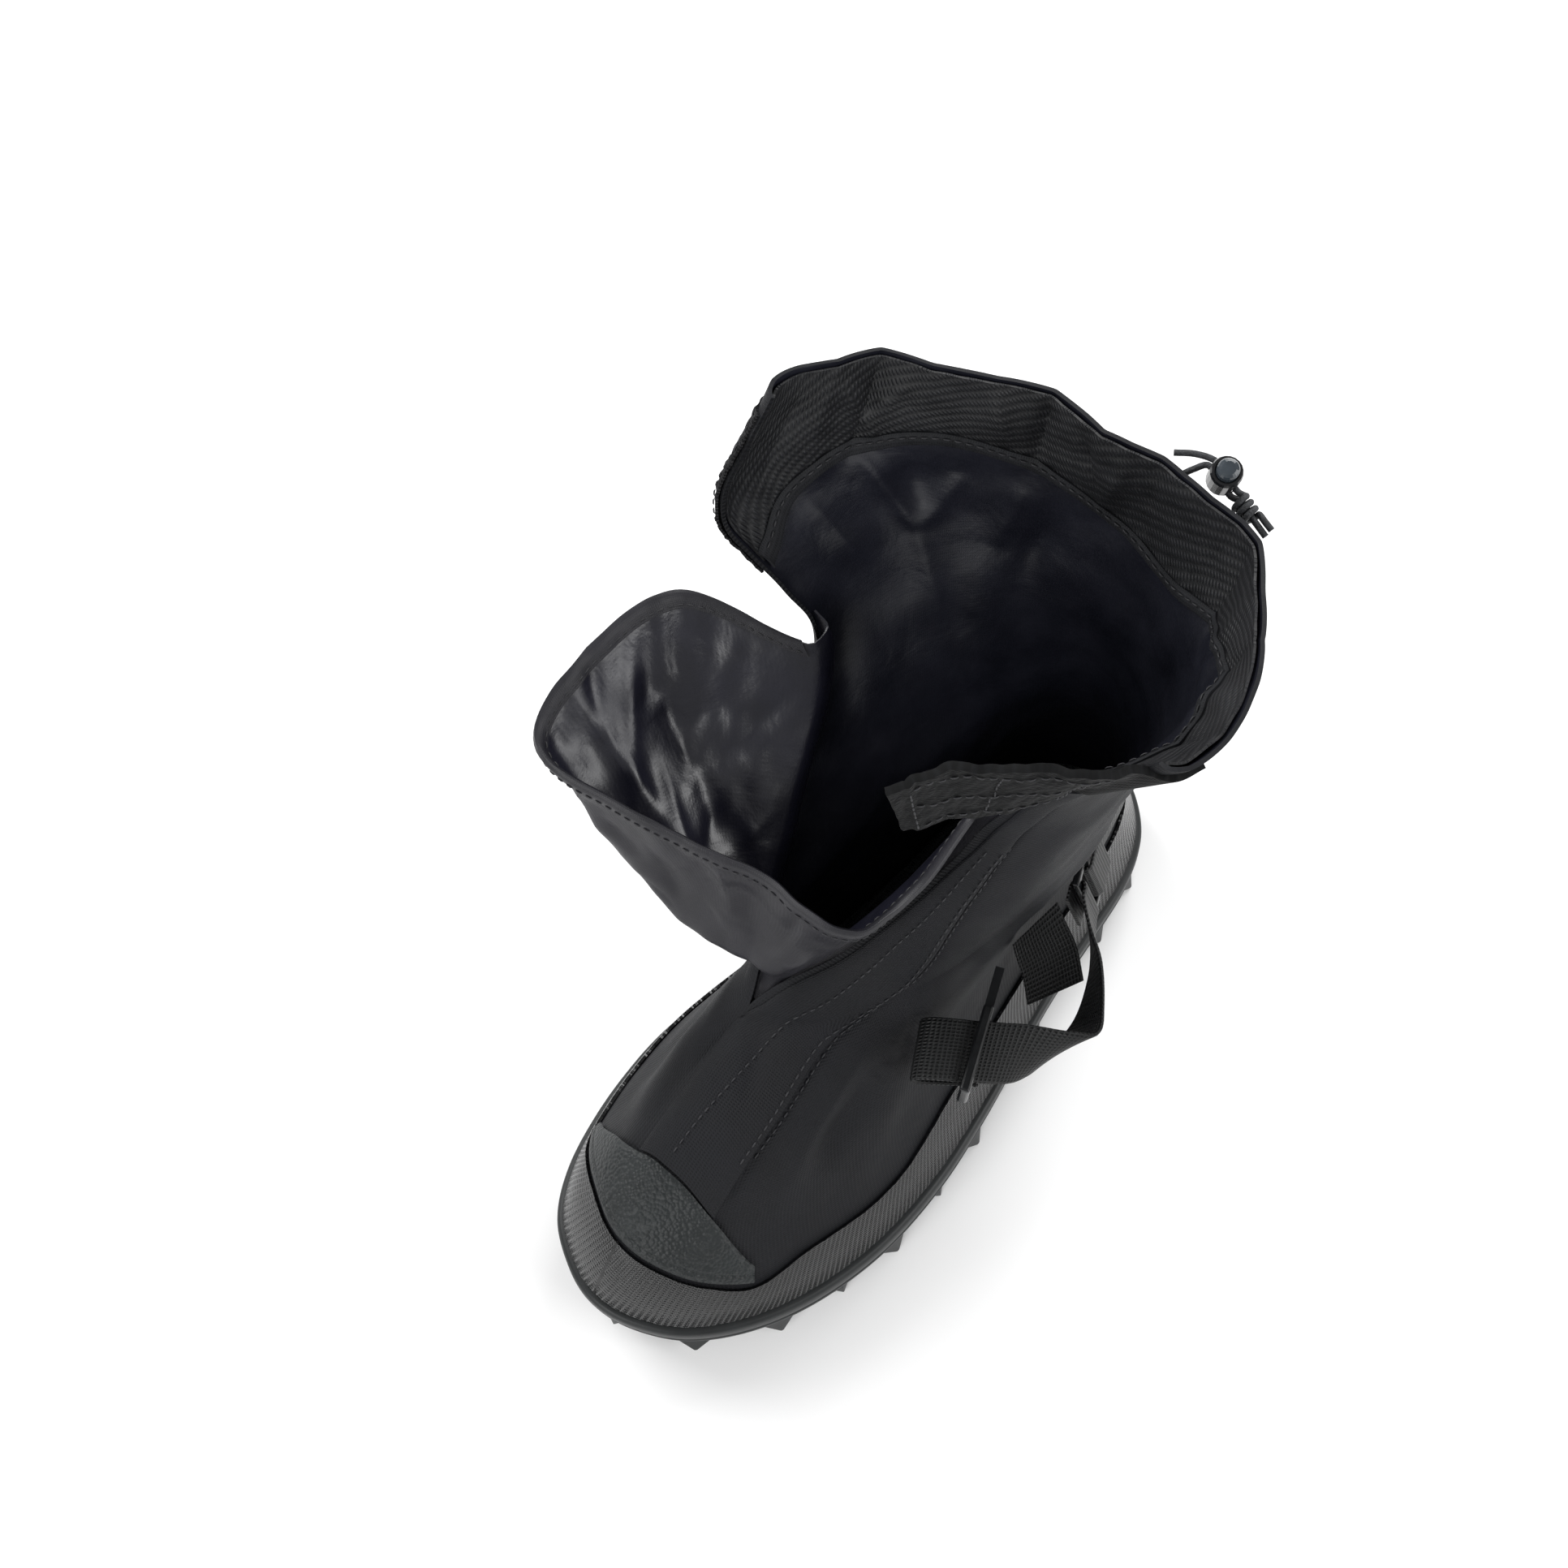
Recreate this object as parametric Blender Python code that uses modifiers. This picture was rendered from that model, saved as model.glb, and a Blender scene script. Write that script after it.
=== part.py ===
"""Winter overshoe: a fabric overshoe with a lugged rubber cup sole, a rubber rand, a gusseted
throat, a closure flap, an instep strap and a drawcord collar. Metres, +Z up, toe toward -Y,
lateral side toward +X. It is the left shoe of a pair."""
import math

import bmesh
import bpy
from mathutils import Matrix, Vector

# Main sizes
FOOT_LENGTH = 0.330
BALL_WIDTH = 0.129
COLLAR_HEIGHT = 0.300

# Walls and clearances
SHELL_WALL = 0.0015
SEAM_GAP = 0.0004
FOLD_GAP = 0.0012
RAND_WALL = 0.0012
CAP_WALL = 0.0014
PLACKET_WALL = 0.0010
GUSSET_WALL = 0.0009
PUCKER = 0.006
FACING_WALL = 0.0010

# Sole
LUG_DEPTH = 0.008
PLATE_WALL = 0.005
ARCH_RISE = 0.0025
TOE_SPRING = 0.012
HEEL_SPRING = 0.002
RIM_WALL = 0.0036
RIM_BEAD = 0.0012
INSOLE_WALL = 0.003

# Webbing and hardware
WEBBING_WIDTH = 0.025
WEBBING_WALL = 0.0016
BUCKLE_BAR = 0.0042
RING_WIRE = 0.0030
RING_OPENING = 0.0075
CORD_DIAMETER = 0.0022
LOCK_LENGTH = 0.012
LOCK_DIAMETER = 0.0108
BUTTON_DIAMETER = 0.0074
BUTTON_TRAVEL = 0.0025
FLAP_HEIGHT = 0.050
FLAP_WALL = 0.0028

# One step lengthwise is a 330th of the foot, one step sideways a 129th of the ball width,
# one step upward a 300th of the collar height.
STEP_Y = FOOT_LENGTH / 330.0
STEP_X = BALL_WIDTH / 129.0
STEP_Z = COLLAR_HEIGHT / 300.0

# Outline of the foot from toe to heel. Columns: share of the length, lateral edge and medial
# edge in halves of the ball width.
OUTLINE = (
    (0.000, -0.14, -0.14),
    (0.012, 0.14, -0.40),
    (0.040, 0.39, -0.64),
    (0.090, 0.62, -0.82),
    (0.150, 0.79, -0.93),
    (0.220, 0.91, -1.00),
    (0.300, 0.98, -1.02),
    (0.400, 0.98, -0.95),
    (0.500, 0.91, -0.84),
    (0.600, 0.81, -0.74),
    (0.700, 0.72, -0.69),
    (0.800, 0.66, -0.67),
    (0.880, 0.60, -0.64),
    (0.940, 0.48, -0.53),
    (0.980, 0.28, -0.33),
    (1.000, 0.00, 0.00),
)

# Sections of the upper from the feather edge to the collar, in steps. Columns: stage,
# lateral front edge x y z, medial front edge x y z, heel x y z, lateral half width,
# medial half width, share of the foot outline, share of the toe spring, front squareness.
SECTIONS = (
    (0, -9, -163, 14, -9, -163, 14, 0, 163, 14, 67, 57.5, 1.0, 1.0, 2.0),
    (1, -9, -163, 30, -9, -163, 30, 0, 161, 29, 66, 57, 1.0, 1.0, 2.0),
    (2, -10, -154, 46, -10, -154, 46, 0, 155, 50, 57, 53, 1.0, 0.9, 2.0),
    (3, -12, -141, 60, -12, -141, 60, 0, 149, 74, 48, 46, 0.9, 0.7, 2.0),
    (4, -15, -126, 72, -15, -126, 72, 0, 144, 95, 43, 40, 0.8, 0.4, 2.0),
    (5, -19, -108, 82, -19, -108, 82, -1, 140, 110, 43, 34, 0.65, 0.15, 2.0),
    (6, -23, -86, 90, -23, -86, 90, -2, 136, 122, 45, 30, 0.45, 0.0, 2.0),
    (8, -30, -47, 103, -30, -47, 103, -4, 131, 146, 48, 26, 0.1, 0.0, 2.0),
    (10, -8, -12, 138, -52, -6, 138, -6, 129, 178, 44, 31, 0.0, 0.0, 1.6),
    (12, 7, 24, 182, -76, 42, 182, -10, 130, 214, 45, 38, 0.0, 0.0, 1.4),
    (13, 12, 36, 204, -86, 55, 204, -12, 132, 232, 45, 40, 0.0, 0.0, 1.4),
    (15, 32, 46, 252, -118, 44, 252, -16, 137, 266, 45, 41, 0.0, 0.0, 1.4),
    (17, 56, 50, 297, -118, 70, 297, -20, 141, 296, 47, 44, 0.0, 0.0, 1.4),
)
THROAT_STAGE = 8.0
COLLAR_STAGE = 17.0

# Free edge of the gusset from the lateral to the medial throat edge, in steps.
GUSSET_LIP = (
    (6, 5, 187),
    (-1, -17, 180),
    (-16, -26, 185),
    (-38, -27, 190),
    (-84, -44, 205),
    (-122, -49, 215),
    (-131, -28, 222),
    (-126, 24, 222),
)

COLUMNS = 50
STAGES = (0, 1, 1.5, 2, 2.5, 3, 3.5, 4, 5, 6, 7, 8, 8.5, 9, 10, 11, 12, 13, 14, 15, 16, 17)


def clear_scene():
    for item in list(bpy.data.objects):
        bpy.data.objects.remove(item, do_unlink=True)


def spline(points, place):
    """Smooth curve through (place, value) pairs."""
    last = len(points) - 1
    place = min(max(place, points[0][0]), points[last][0])
    index = 0
    while index < last - 1 and place > points[index + 1][0]:
        index += 1

    def slope(k):
        low = max(k - 1, 0)
        high = min(k + 1, last)
        return (points[high][1] - points[low][1]) / (points[high][0] - points[low][0])

    left, right = points[index], points[index + 1]
    span = right[0] - left[0]
    s = (place - left[0]) / span
    m0 = slope(index) * span
    m1 = slope(index + 1) * span
    return (
        (2 * s ** 3 - 3 * s ** 2 + 1) * left[1]
        + (s ** 3 - 2 * s ** 2 + s) * m0
        + (3 * s ** 2 - 2 * s ** 3) * right[1]
        + (s ** 3 - s ** 2) * m1
    )


def smooth(low, high, value):
    s = min(max((value - low) / (high - low), 0.0), 1.0)
    return s * s * (3 - 2 * s)


EDGE_ANGLE = [math.acos(1 - 2 * row[0]) for row in OUTLINE]
EDGE = {
    1: [(EDGE_ANGLE[k], OUTLINE[k][1]) for k in range(len(OUTLINE))],
    -1: [(EDGE_ANGLE[k], OUTLINE[k][2]) for k in range(len(OUTLINE))],
}
TIP = OUTLINE[0][1]
SECTION_CURVES = [
    [(row[0], row[column]) for row in SECTIONS] for column in range(1, len(SECTIONS[0]))
]
SECTION_CACHE = {}


def section_at(stage):
    key = round(stage, 5)
    if key not in SECTION_CACHE:
        SECTION_CACHE[key] = [spline(curve, key) for curve in SECTION_CURVES]
    return SECTION_CACHE[key]


def lift(t):
    """Rise of the sole and the feather edge at the toe and the heel."""
    return TOE_SPRING * max(0.0, 1 - t / 0.30) ** 2 + HEEL_SPRING * max(0.0, (t - 0.85) / 0.15) ** 2


def oval(t, front):
    widest = 0.6
    if t < widest:
        return max(0.0, 1 - ((widest - t) / widest) ** front) ** (1 / front)
    return max(0.0, 1 - ((t - widest) / (1 - widest)) ** 2.2) ** (1 / 2.2)


def upper_point(stage, turn):
    """Point of the outer face. The turn runs from the front over the lateral side to the heel
    at a half turn and back over the medial side."""
    lx, ly, lz, mx, my, mz, hx, hy, hz, wide_l, wide_m, foot, spring, front = section_at(stage)
    side = 1 if turn <= math.pi else -1
    t = (1 - math.cos(turn)) / 2
    if stage <= THROAT_STAGE:
        lx = mx = (lx + mx) / 2
        ly = my = (ly + my) / 2
        lz = mz = (lz + mz) / 2
    fx, fy, fz, wide = (lx, ly, lz, wide_l) if side > 0 else (mx, my, mz, wide_m)
    widest = 0.98 - 0.7 * TIP if side > 0 else 1.02 + 0.7 * TIP
    edge = spline(EDGE[side], math.acos(max(-1.0, min(1.0, 1 - 2 * t)))) - TIP * (1 - t)
    shape = foot * abs(edge) / widest + (1 - foot) * oval(t, front)
    return Vector((
        (fx + (hx - fx) * t + side * wide * shape) * STEP_X,
        (fy + (hy - fy) * t) * STEP_Y,
        (fz + (hz - fz) * t) * STEP_Z + lift(t) * spring,
    ))


def upper_normal(stage, turn):
    """Outward direction of the outer face."""
    step = 0.03
    rise = 0.06
    low, high = turn - step, turn + step
    if stage > THROAT_STAGE - 0.01:
        low, high = max(low, 0.0), min(high, 2 * math.pi)
    else:
        low, high = low % (2 * math.pi), high % (2 * math.pi)
    down, up = max(stage - rise, 0.0), min(stage + rise, COLLAR_STAGE)
    across = upper_point(stage, high) - upper_point(stage, low)
    along = upper_point(up, turn) - upper_point(down, turn)
    return across.cross(along).normalized()


def on_upper(stage, turn, out):
    return upper_point(stage, turn) + upper_normal(stage, turn) * out


def make_material(name, color, rough, metal=0.0):
    mat = bpy.data.materials.new(name)
    mat.use_nodes = True
    shader = mat.node_tree.nodes.get("Principled BSDF")
    shader.inputs["Base Color"].default_value = (color[0], color[1], color[2], 1.0)
    shader.inputs["Roughness"].default_value = rough
    shader.inputs["Metallic"].default_value = metal
    return mat


def make_object(name, verts, faces, material, group):
    mesh = bpy.data.meshes.new(name)
    mesh.from_pydata([tuple(v) for v in verts], [], faces)
    mesh.validate()
    item = bpy.data.objects.new(name, mesh)
    item.data.materials.append(material)
    group.objects.link(item)
    return item


def add_wall(item, thickness, outward):
    """Wall of a shell: outward keeps the drawn face inside."""
    wall = item.modifiers.new("wall", "SOLIDIFY")
    wall.thickness = thickness
    wall.offset = 1.0 if outward else -1.0
    wall.use_rim = True
    wall.use_even_offset = False
    return wall


def weld(item, distance=0.00005):
    work = bmesh.new()
    work.from_mesh(item.data)
    bmesh.ops.remove_doubles(work, verts=work.verts, dist=distance)
    work.to_mesh(item.data)
    work.free()


def sheet(name, grid, material, group, closed=False):
    """Open surface over rows of points."""
    verts = [p for row in grid for p in row]
    count = len(grid[0])
    faces = []
    for r in range(len(grid) - 1):
        for c in range(count if closed else count - 1):
            d = (c + 1) % count
            faces.append((r * count + c, r * count + d, (r + 1) * count + d, (r + 1) * count + c))
    item = make_object(name, verts, faces, material, group)
    weld(item)
    return item


def rings_solid(name, rings, material, group):
    """Solid through closed loops; the first and the last loop are closed by cross strips."""
    count = len(rings[0])
    half = count // 2
    verts = [p for ring in rings for p in ring]
    faces = []
    for r in range(len(rings) - 1):
        for c in range(count):
            d = (c + 1) % count
            faces.append((r * count + c, r * count + d, (r + 1) * count + d, (r + 1) * count + c))
    base = (len(rings) - 1) * count
    for k in range(half):
        a, b = k, k + 1
        c, d = (count - k - 1) % count, (count - k) % count
        loop_low = [a, d, c, b] if k > 0 else [a, c, b]
        loop_top = [a, b, c, d] if k > 0 else [a, b, c]
        if k == half - 1:
            loop_low = [a, d, b]
            loop_top = [a, b, d]
        faces.append(tuple(loop_low))
        faces.append(tuple(base + i for i in loop_top))
    return make_object(name, verts, faces, material, group)


def turn_of(side, t):
    angle = math.acos(1 - 2 * t)
    return angle if side > 0 else 2 * math.pi - angle


def outline_point(stage, turn, out):
    """Point of a section moved outward in plan."""
    point = upper_point(stage, turn)
    step = 0.04
    before = upper_point(stage, (turn - step) % (2 * math.pi))
    after = upper_point(stage, (turn + step) % (2 * math.pi))
    along = after - before
    flat = Vector((along.y, -along.x, 0.0)).normalized()
    return point + flat * out, flat


def share_of(point_y):
    front = SECTIONS[0][2] * STEP_Y
    back = SECTIONS[0][8] * STEP_Y
    return min(max((point_y - front) / (back - front), 0.0), 1.0)


def arch(t):
    return ARCH_RISE * smooth(0.46, 0.56, t) * (1 - smooth(0.66, 0.76, t))


def floor_height(t):
    return LUG_DEPTH + PLATE_WALL + lift(t)


def rim_height(turn):
    return upper_point(1.0, turn).z


def build_upper(material, group):
    grid = []
    for stage in STAGES:
        row = []
        for c in range(COLUMNS + 1):
            row.append(upper_point(stage, 2 * math.pi * c / COLUMNS))
        grid.append(row)
    item = sheet("upper", grid, material, group)
    add_wall(item, SHELL_WALL, False)
    return item


def build_outsole(material, group, cutters):
    count = COLUMNS
    base_out = RIM_WALL - RIM_BEAD
    rings = []
    turns = [2 * math.pi * c / count for c in range(count)]
    bottom = []
    for turn in turns:
        point, flat = outline_point(0.0, turn, base_out)
        t = share_of(upper_point(0.0, turn).y)
        point.z = LUG_DEPTH + lift(t) + arch(t)
        bottom.append(point)
    rings.append(bottom)
    # Columns: share of the height between the plate and the rim, outward step of the wall.
    profile = (
        (0.10, base_out + 0.5 * RIM_BEAD),
        (0.42, base_out + 0.9 * RIM_BEAD),
        (0.50, base_out + 0.1 * RIM_BEAD),
        (0.62, base_out + 0.1 * RIM_BEAD),
        (0.70, base_out + 1.0 * RIM_BEAD),
        (0.92, base_out + 1.0 * RIM_BEAD),
        (1.00, base_out + 0.4 * RIM_BEAD),
    )
    for share, out in profile:
        ring = []
        for turn in turns:
            t = share_of(upper_point(0.0, turn).y)
            low = LUG_DEPTH + lift(t) + arch(t)
            stage = share
            point, flat = outline_point(stage, turn, out + SEAM_GAP)
            point.z = low + (rim_height(turn) - low) * share
            ring.append(point)
        rings.append(ring)
    for stage, share in ((1.0, 1.0), (0.5, 0.5), (0.0, 0.0)):
        ring = []
        for turn in turns:
            t = share_of(upper_point(0.0, turn).y)
            low = floor_height(t)
            point, flat = outline_point(stage, turn, SEAM_GAP)
            point.z = low + (rim_height(turn) - low) * share
            ring.append(point)
        rings.append(ring)
    body = rings_solid("outsole", rings, material, group)
    for cutter in build_lugs(material, cutters):
        join = body.modifiers.new(cutter.name, "BOOLEAN")
        join.operation = "UNION"
        join.solver = "EXACT"
        join.object = cutter
    return body


# Edge lugs. Columns: side, share of the length, 1 for a large ridged lug or 0 for a small one.
EDGE_LUGS = (
    (1, 0.002, 0),
    (1, 0.048, 1),
    (1, 0.135, 1),
    (1, 0.220, 0),
    (1, 0.305, 1),
    (1, 0.395, 0),
    (1, 0.480, 1),
    (1, 0.570, 0),
    (1, 0.655, 0),
    (1, 0.740, 0),
    (1, 0.815, 1),
    (1, 0.905, 1),
    (1, 0.978, 0),
    (-1, 0.030, 1),
    (-1, 0.110, 0),
    (-1, 0.190, 1),
    (-1, 0.275, 0),
    (-1, 0.360, 1),
    (-1, 0.450, 0),
    (-1, 0.540, 1),
    (-1, 0.630, 0),
    (-1, 0.720, 0),
    (-1, 0.800, 1),
    (-1, 0.890, 1),
    (-1, 0.965, 0),
)

# Inner lugs. Columns: share of the length, sideways place in halves of the ball width.
INNER_LUGS = (
    (0.115, -0.10),
    (0.200, -0.38),
    (0.200, 0.20),
    (0.290, -0.10),
    (0.375, -0.38),
    (0.375, 0.26),
    (0.460, -0.06),
    (0.760, 0.00),
    (0.850, 0.00),
)
LUG_LENGTH = 0.019
LUG_REACH = 0.004
LUG_INSET = 0.017


def hull(work, points):
    made = [work.verts.new(p) for p in points]
    out = bmesh.ops.convex_hull(work, input=made, use_existing_faces=False)
    spare = [v for v in out["geom_interior"] if isinstance(v, bmesh.types.BMVert)]
    spare += [v for v in out["geom_unused"] if isinstance(v, bmesh.types.BMVert)]
    if spare:
        bmesh.ops.delete(work, geom=list(set(spare)), context="VERTS")


def build_cutter(name, work, material, cutters):
    mesh = bpy.data.meshes.new(name)
    work.to_mesh(mesh)
    work.free()
    item = bpy.data.objects.new(name, mesh)
    item.data.materials.append(material)
    item.hide_render = True
    item.display_type = "WIRE"
    cutters.objects.link(item)
    return item


def build_lugs(material, cutters):
    """Ground lugs and the ridges that run from the large ones up the side wall."""
    ground = bmesh.new()
    ridges = bmesh.new()
    sink = 0.3 * PLATE_WALL
    for side, t, large in EDGE_LUGS:
        turn = turn_of(side, t)
        edge, flat = outline_point(0.0, turn, RIM_WALL - RIM_BEAD)
        place = share_of(upper_point(0.0, turn).y)
        along = Vector((-flat.y, flat.x, 0.0))
        size = 1.0 if large else 0.62
        low = lift(place) + 0.6 * arch(place)
        top = LUG_DEPTH + lift(place) + arch(place) + sink
        wide = LUG_LENGTH / 2 * size
        inset = LUG_INSET * (0.6 + 0.4 * size)
        climb = 0.62 if large else 0.22
        ridge = top + climb * (rim_height(turn) - top)
        back = -0.35 * RIM_WALL
        block = (
            (-0.62 * wide, -inset, low),
            (0.62 * wide, -inset, low),
            (0.62 * wide, 0.0, low),
            (-0.62 * wide, 0.0, low),
            (-wide, -inset - 0.002, top),
            (wide, -inset - 0.002, top),
            (wide, back, top),
            (-wide, back, top),
        )
        wedge = (
            (-0.55 * wide, back, low),
            (0.55 * wide, back, low),
            (0.0, LUG_REACH * size, low),
            (-wide, back, top),
            (wide, back, top),
            (0.0, back, ridge),
            (0.0, 0.35 * LUG_REACH * size, top),
        )
        for work, corners in ((ground, block), (ridges, wedge)):
            points = []
            for u, w, z in corners:
                point = edge + along * u + flat * w
                point.z = z
                points.append(point)
            hull(work, points)
    for t, offset in INNER_LUGS:
        low = lift(t)
        top = LUG_DEPTH + lift(t) + arch(t) + sink
        centre = Vector((
            offset * BALL_WIDTH / 2,
            (SECTIONS[0][2] + (SECTIONS[0][8] - SECTIONS[0][2]) * t) * STEP_Y,
            0.0,
        ))
        points = []
        for z, scale in ((low, 0.72), (top, 1.0)):
            for u, w in ((-0.5, 0.0), (-0.22, 0.4), (0.22, 0.4), (0.5, 0.0), (0.22, -0.4), (-0.22, -0.4)):
                point = centre + Vector((u * LUG_LENGTH * scale, w * LUG_LENGTH * scale, 0.0))
                point.z = z
                points.append(point)
        hull(ground, points)
    return (
        build_cutter("lug_cutter", ground, material, cutters),
        build_cutter("ridge_cutter", ridges, material, cutters),
    )


def build_insole(material, group):
    inside = -(SHELL_WALL + 2 * SEAM_GAP)
    rings = []
    for share in (0.0, 1.0):
        ring = []
        for c in range(COLUMNS):
            turn = 2 * math.pi * c / COLUMNS
            point, flat = outline_point(0.0, turn, inside)
            t = share_of(upper_point(0.0, turn).y)
            point.z = floor_height(t) + SEAM_GAP + INSOLE_WALL * share
            ring.append(point)
        rings.append(ring)
    return rings_solid("insole", rings, material, group)


def turn_at(stage, side, distance):
    """Turn of the place this far round the wall from its front edge."""
    low, high = 0.0, 1.5
    start = upper_point(stage, 0.0 if side > 0 else 2 * math.pi)
    for _ in range(24):
        middle = (low + high) / 2
        turn = middle if side > 0 else 2 * math.pi - middle
        if (upper_point(stage, turn) - start).length < distance:
            low = middle
        else:
            high = middle
    return low if side > 0 else 2 * math.pi - low


def fine_row(curve, parts):
    """Points of the smooth curve through the given ones, so many to each span."""
    last = len(curve) - 1
    places = [0.0]
    for k in range(last):
        places.append(places[k] + max((curve[k + 1] - curve[k]).length, 0.00001))
    tracks = [[(places[k], curve[k][axis]) for k in range(last + 1)] for axis in range(3)]
    row = []
    for k in range(last):
        for c in range(parts):
            place = places[k] + (places[k + 1] - places[k]) * c / parts
            row.append(Vector([spline(track, place) for track in tracks]))
    row.append(curve[last].copy())
    return row


def even_points(dense, samples):
    """Evenly spaced points on a fine polyline, its two ends included."""
    total = len(dense) - 1
    lengths = [0.0]
    for k in range(total):
        lengths.append(lengths[k] + (dense[k + 1] - dense[k]).length)
    row = []
    k = 0
    for c in range(samples + 1):
        goal = lengths[total] * c / samples
        while k < total - 1 and lengths[k + 1] < goal:
            k += 1
        span = max(lengths[k + 1] - lengths[k], 1e-9)
        row.append(dense[k].lerp(dense[k + 1], min(max((goal - lengths[k]) / span, 0.0), 1.0)))
    return row


def even_row(curve, samples):
    return even_points(fine_row(curve, 20), samples)


def build_gusset(material, group):
    inside = -(SHELL_WALL + 3 * SEAM_GAP + GUSSET_WALL)
    lip = [Vector((x * STEP_X, y * STEP_Y, z * STEP_Z)) for x, y, z in GUSSET_LIP]
    centre_top = Vector((-50 * STEP_X, -15 * STEP_Y, 200 * STEP_Z))
    centre_low = on_upper(THROAT_STAGE, 0.0, inside)
    grid = []
    ahead = upper_normal(THROAT_STAGE - 0.1, 0.0)
    rows = 10
    first, final = THROAT_STAGE + 0.14, 13.1
    for r in range(rows + 1):
        s = (r / rows) ** 1.2
        stage = first + (final - first) * s
        open_share = smooth(0.03, 0.42, s)
        middle = centre_low.lerp(centre_top, s)
        middle += ahead * (2 * PUCKER * smooth(0.0, 0.2, s) * (1 - smooth(0.3, 0.8, s)))
        spread = s ** 1.15
        ends = []
        for side in (1, -1):
            edge_turn = 0.0 if side > 0 else 2 * math.pi
            hem = on_upper(stage, turn_at(stage, side, 0.006), inside)
            half = on_upper(stage, turn_at(stage, side, 0.003), inside)
            ends.append((hem, half, on_upper(stage, edge_turn, inside), on_upper(stage, edge_turn, 0.0065)))
        toward = ends[1][2] - ends[0][2]
        reach = min(0.0068, toward.length * 0.08)
        toward.normalize()
        tip_l = ends[0][2] + toward * reach
        tip_m = ends[1][2] - toward * reach
        bend_l = tip_l.lerp(ends[0][3] + toward * reach, open_share ** 1.5)
        bend_m = tip_m.lerp(ends[1][3] - toward * reach, open_share ** 1.5)
        span = []
        for k, point in enumerate(lip):
            straight = tip_l.lerp(tip_m, (k + 1) / (len(lip) + 1))
            span.append(straight.lerp(middle + (point - centre_top) * spread, open_share))
        curve = [ends[0][0], ends[0][1], tip_l, bend_l] + span + [bend_m, tip_m, ends[1][1]]
        dense = fine_row(curve, 12)
        last = len(dense) - 1
        row = dense[0:36:4] + even_points(dense[36:last - 23], 15) + dense[last - 20:last + 1:4]
        grid.append(row)
    item = sheet("gusset", grid, material, group)
    add_wall(item, GUSSET_WALL, False)
    return item


# Upper edge of the toe cap and of the rand. Columns: turn, stage.
CAP_TOP = (
    (-0.72, 2.15),
    (-0.50, 3.55),
    (-0.22, 4.45),
    (0.00, 4.70),
    (0.27, 4.45),
    (0.50, 3.60),
    (0.69, 2.30),
)
CAP_LOW = (
    (-0.72, 1.88),
    (-0.50, 2.55),
    (-0.30, 2.92),
    (0.00, 2.92),
    (0.27, 2.68),
    (0.50, 2.30),
    (0.69, 1.98),
)
RAND_TOP = (
    (-0.85, 1.86),
    (-0.72, 1.72),
    (-0.50, 2.39),
    (-0.30, 2.76),
    (0.00, 2.76),
    (0.27, 2.52),
    (0.50, 2.14),
    (0.69, 1.82),
    (0.90, 2.08),
    (1.25, 1.98),
    (1.50, 2.32),
    (2.20, 2.50),
    (3.14, 2.90),
    (4.10, 2.45),
    (4.80, 2.20),
    (5.15, 2.05),
    (5.43, 1.86),
)

# Edges of the front placket. Columns: stage, lateral seam turn, medial edge turn.
PLACKET = (
    (3.4, 0.46, -0.24),
    (5.0, 0.55, -0.24),
    (6.0, 0.60, -0.20),
    (7.25, 0.64, -0.10),
    (7.75, 0.72, 0.00),
    (8.15, 0.90, 0.09),
    (9.0, 0.93, 0.10),
    (10.7, 0.74, 0.17),
    (12.0, 0.62, 0.24),
    (12.8, 0.56, 0.27),
)

# Instep strap from the ring to the buckle and its rolled end, and the ankle strap from the
# shaft to the bend of the instep strap. Columns: centre x y z in steps, then the direction
# across the webbing.
STRAP_OUTER = (
    (51.5, 69.0, 89.5, -0.18, -0.08, 0.98),
    (61.5, 58.5, 89.5, 0.05, 0.02, 1.00),
    (71, 42, 90.5, 0.30, 0.15, 0.94),
    (73.8, 28, 94, 0.45, 0.50, 0.74),
    (69.6, 16.3, 98, 0.12, 0.92, 0.38),
    (59.4, 5.5, 103, -0.34, 0.93, 0.12),
    (48.7, -4.3, 106.9, -0.45, 0.89, 0.0),
    (40.2, -11.9, 110.6, -0.50, 0.86, 0.0),
    (34.6, -16.4, 111.0, -0.50, 0.86, 0.0),
    (31.6, -18.8, 107.6, -0.50, 0.86, 0.0),
    (34.6, -16.4, 104.3, -0.50, 0.86, 0.0),
    (43.0, -9.0, 102.4, -0.48, 0.88, 0.0),
    (52.0, -1.9, 101.7, -0.45, 0.89, 0.0),
)
ANKLE_STRAP = (
    (31.4, 57.0, 93.2, 0.12, 0.94, 0.26),
    (37.5, 53.8, 91.0, 0.24, 0.91, 0.32),
    (45, 50.5, 87, 0.40, 0.85, 0.34),
    (54.5, 43.5, 81, 0.46, 0.82, 0.34),
)
RING_PLACE = (39.4, 80.2, 88.8)
RING_RUN = (-0.42, 0.90, 0.0)
RING_ACROSS = (-0.42, 0.12, 0.90)
BUCKLE_PLACE = (49.0, -4.2, 104.4)

# Closure flap. Columns: upper edge x y z, lower edge x y, in steps.
FLAP = (
    (46, 32, 300, 27, 32),
    (35.5, 24, 300, 20, 24),
    (23, 14, 300, 13, 14),
    (10.8, 4, 299, 6.5, 6),
    (1.5, -13, 296, 1.3, -2),
)
LOCK_STAGE = 16.75
LOCK_TURN = 2.72


def steps(values):
    return Vector((values[0] * STEP_X, values[1] * STEP_Y, values[2] * STEP_Z))


def ring_turn(value):
    return value % (2 * math.pi)


def closed_track(rows):
    """Table of a full turn, repeated at both ends."""
    full = 2 * math.pi
    rows = [(turn % full, stage) for turn, stage in rows]
    rows.sort()
    return [(t - full, s) for t, s in rows[-3:]] + rows + [(t + full, s) for t, s in rows[:3]]


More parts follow.
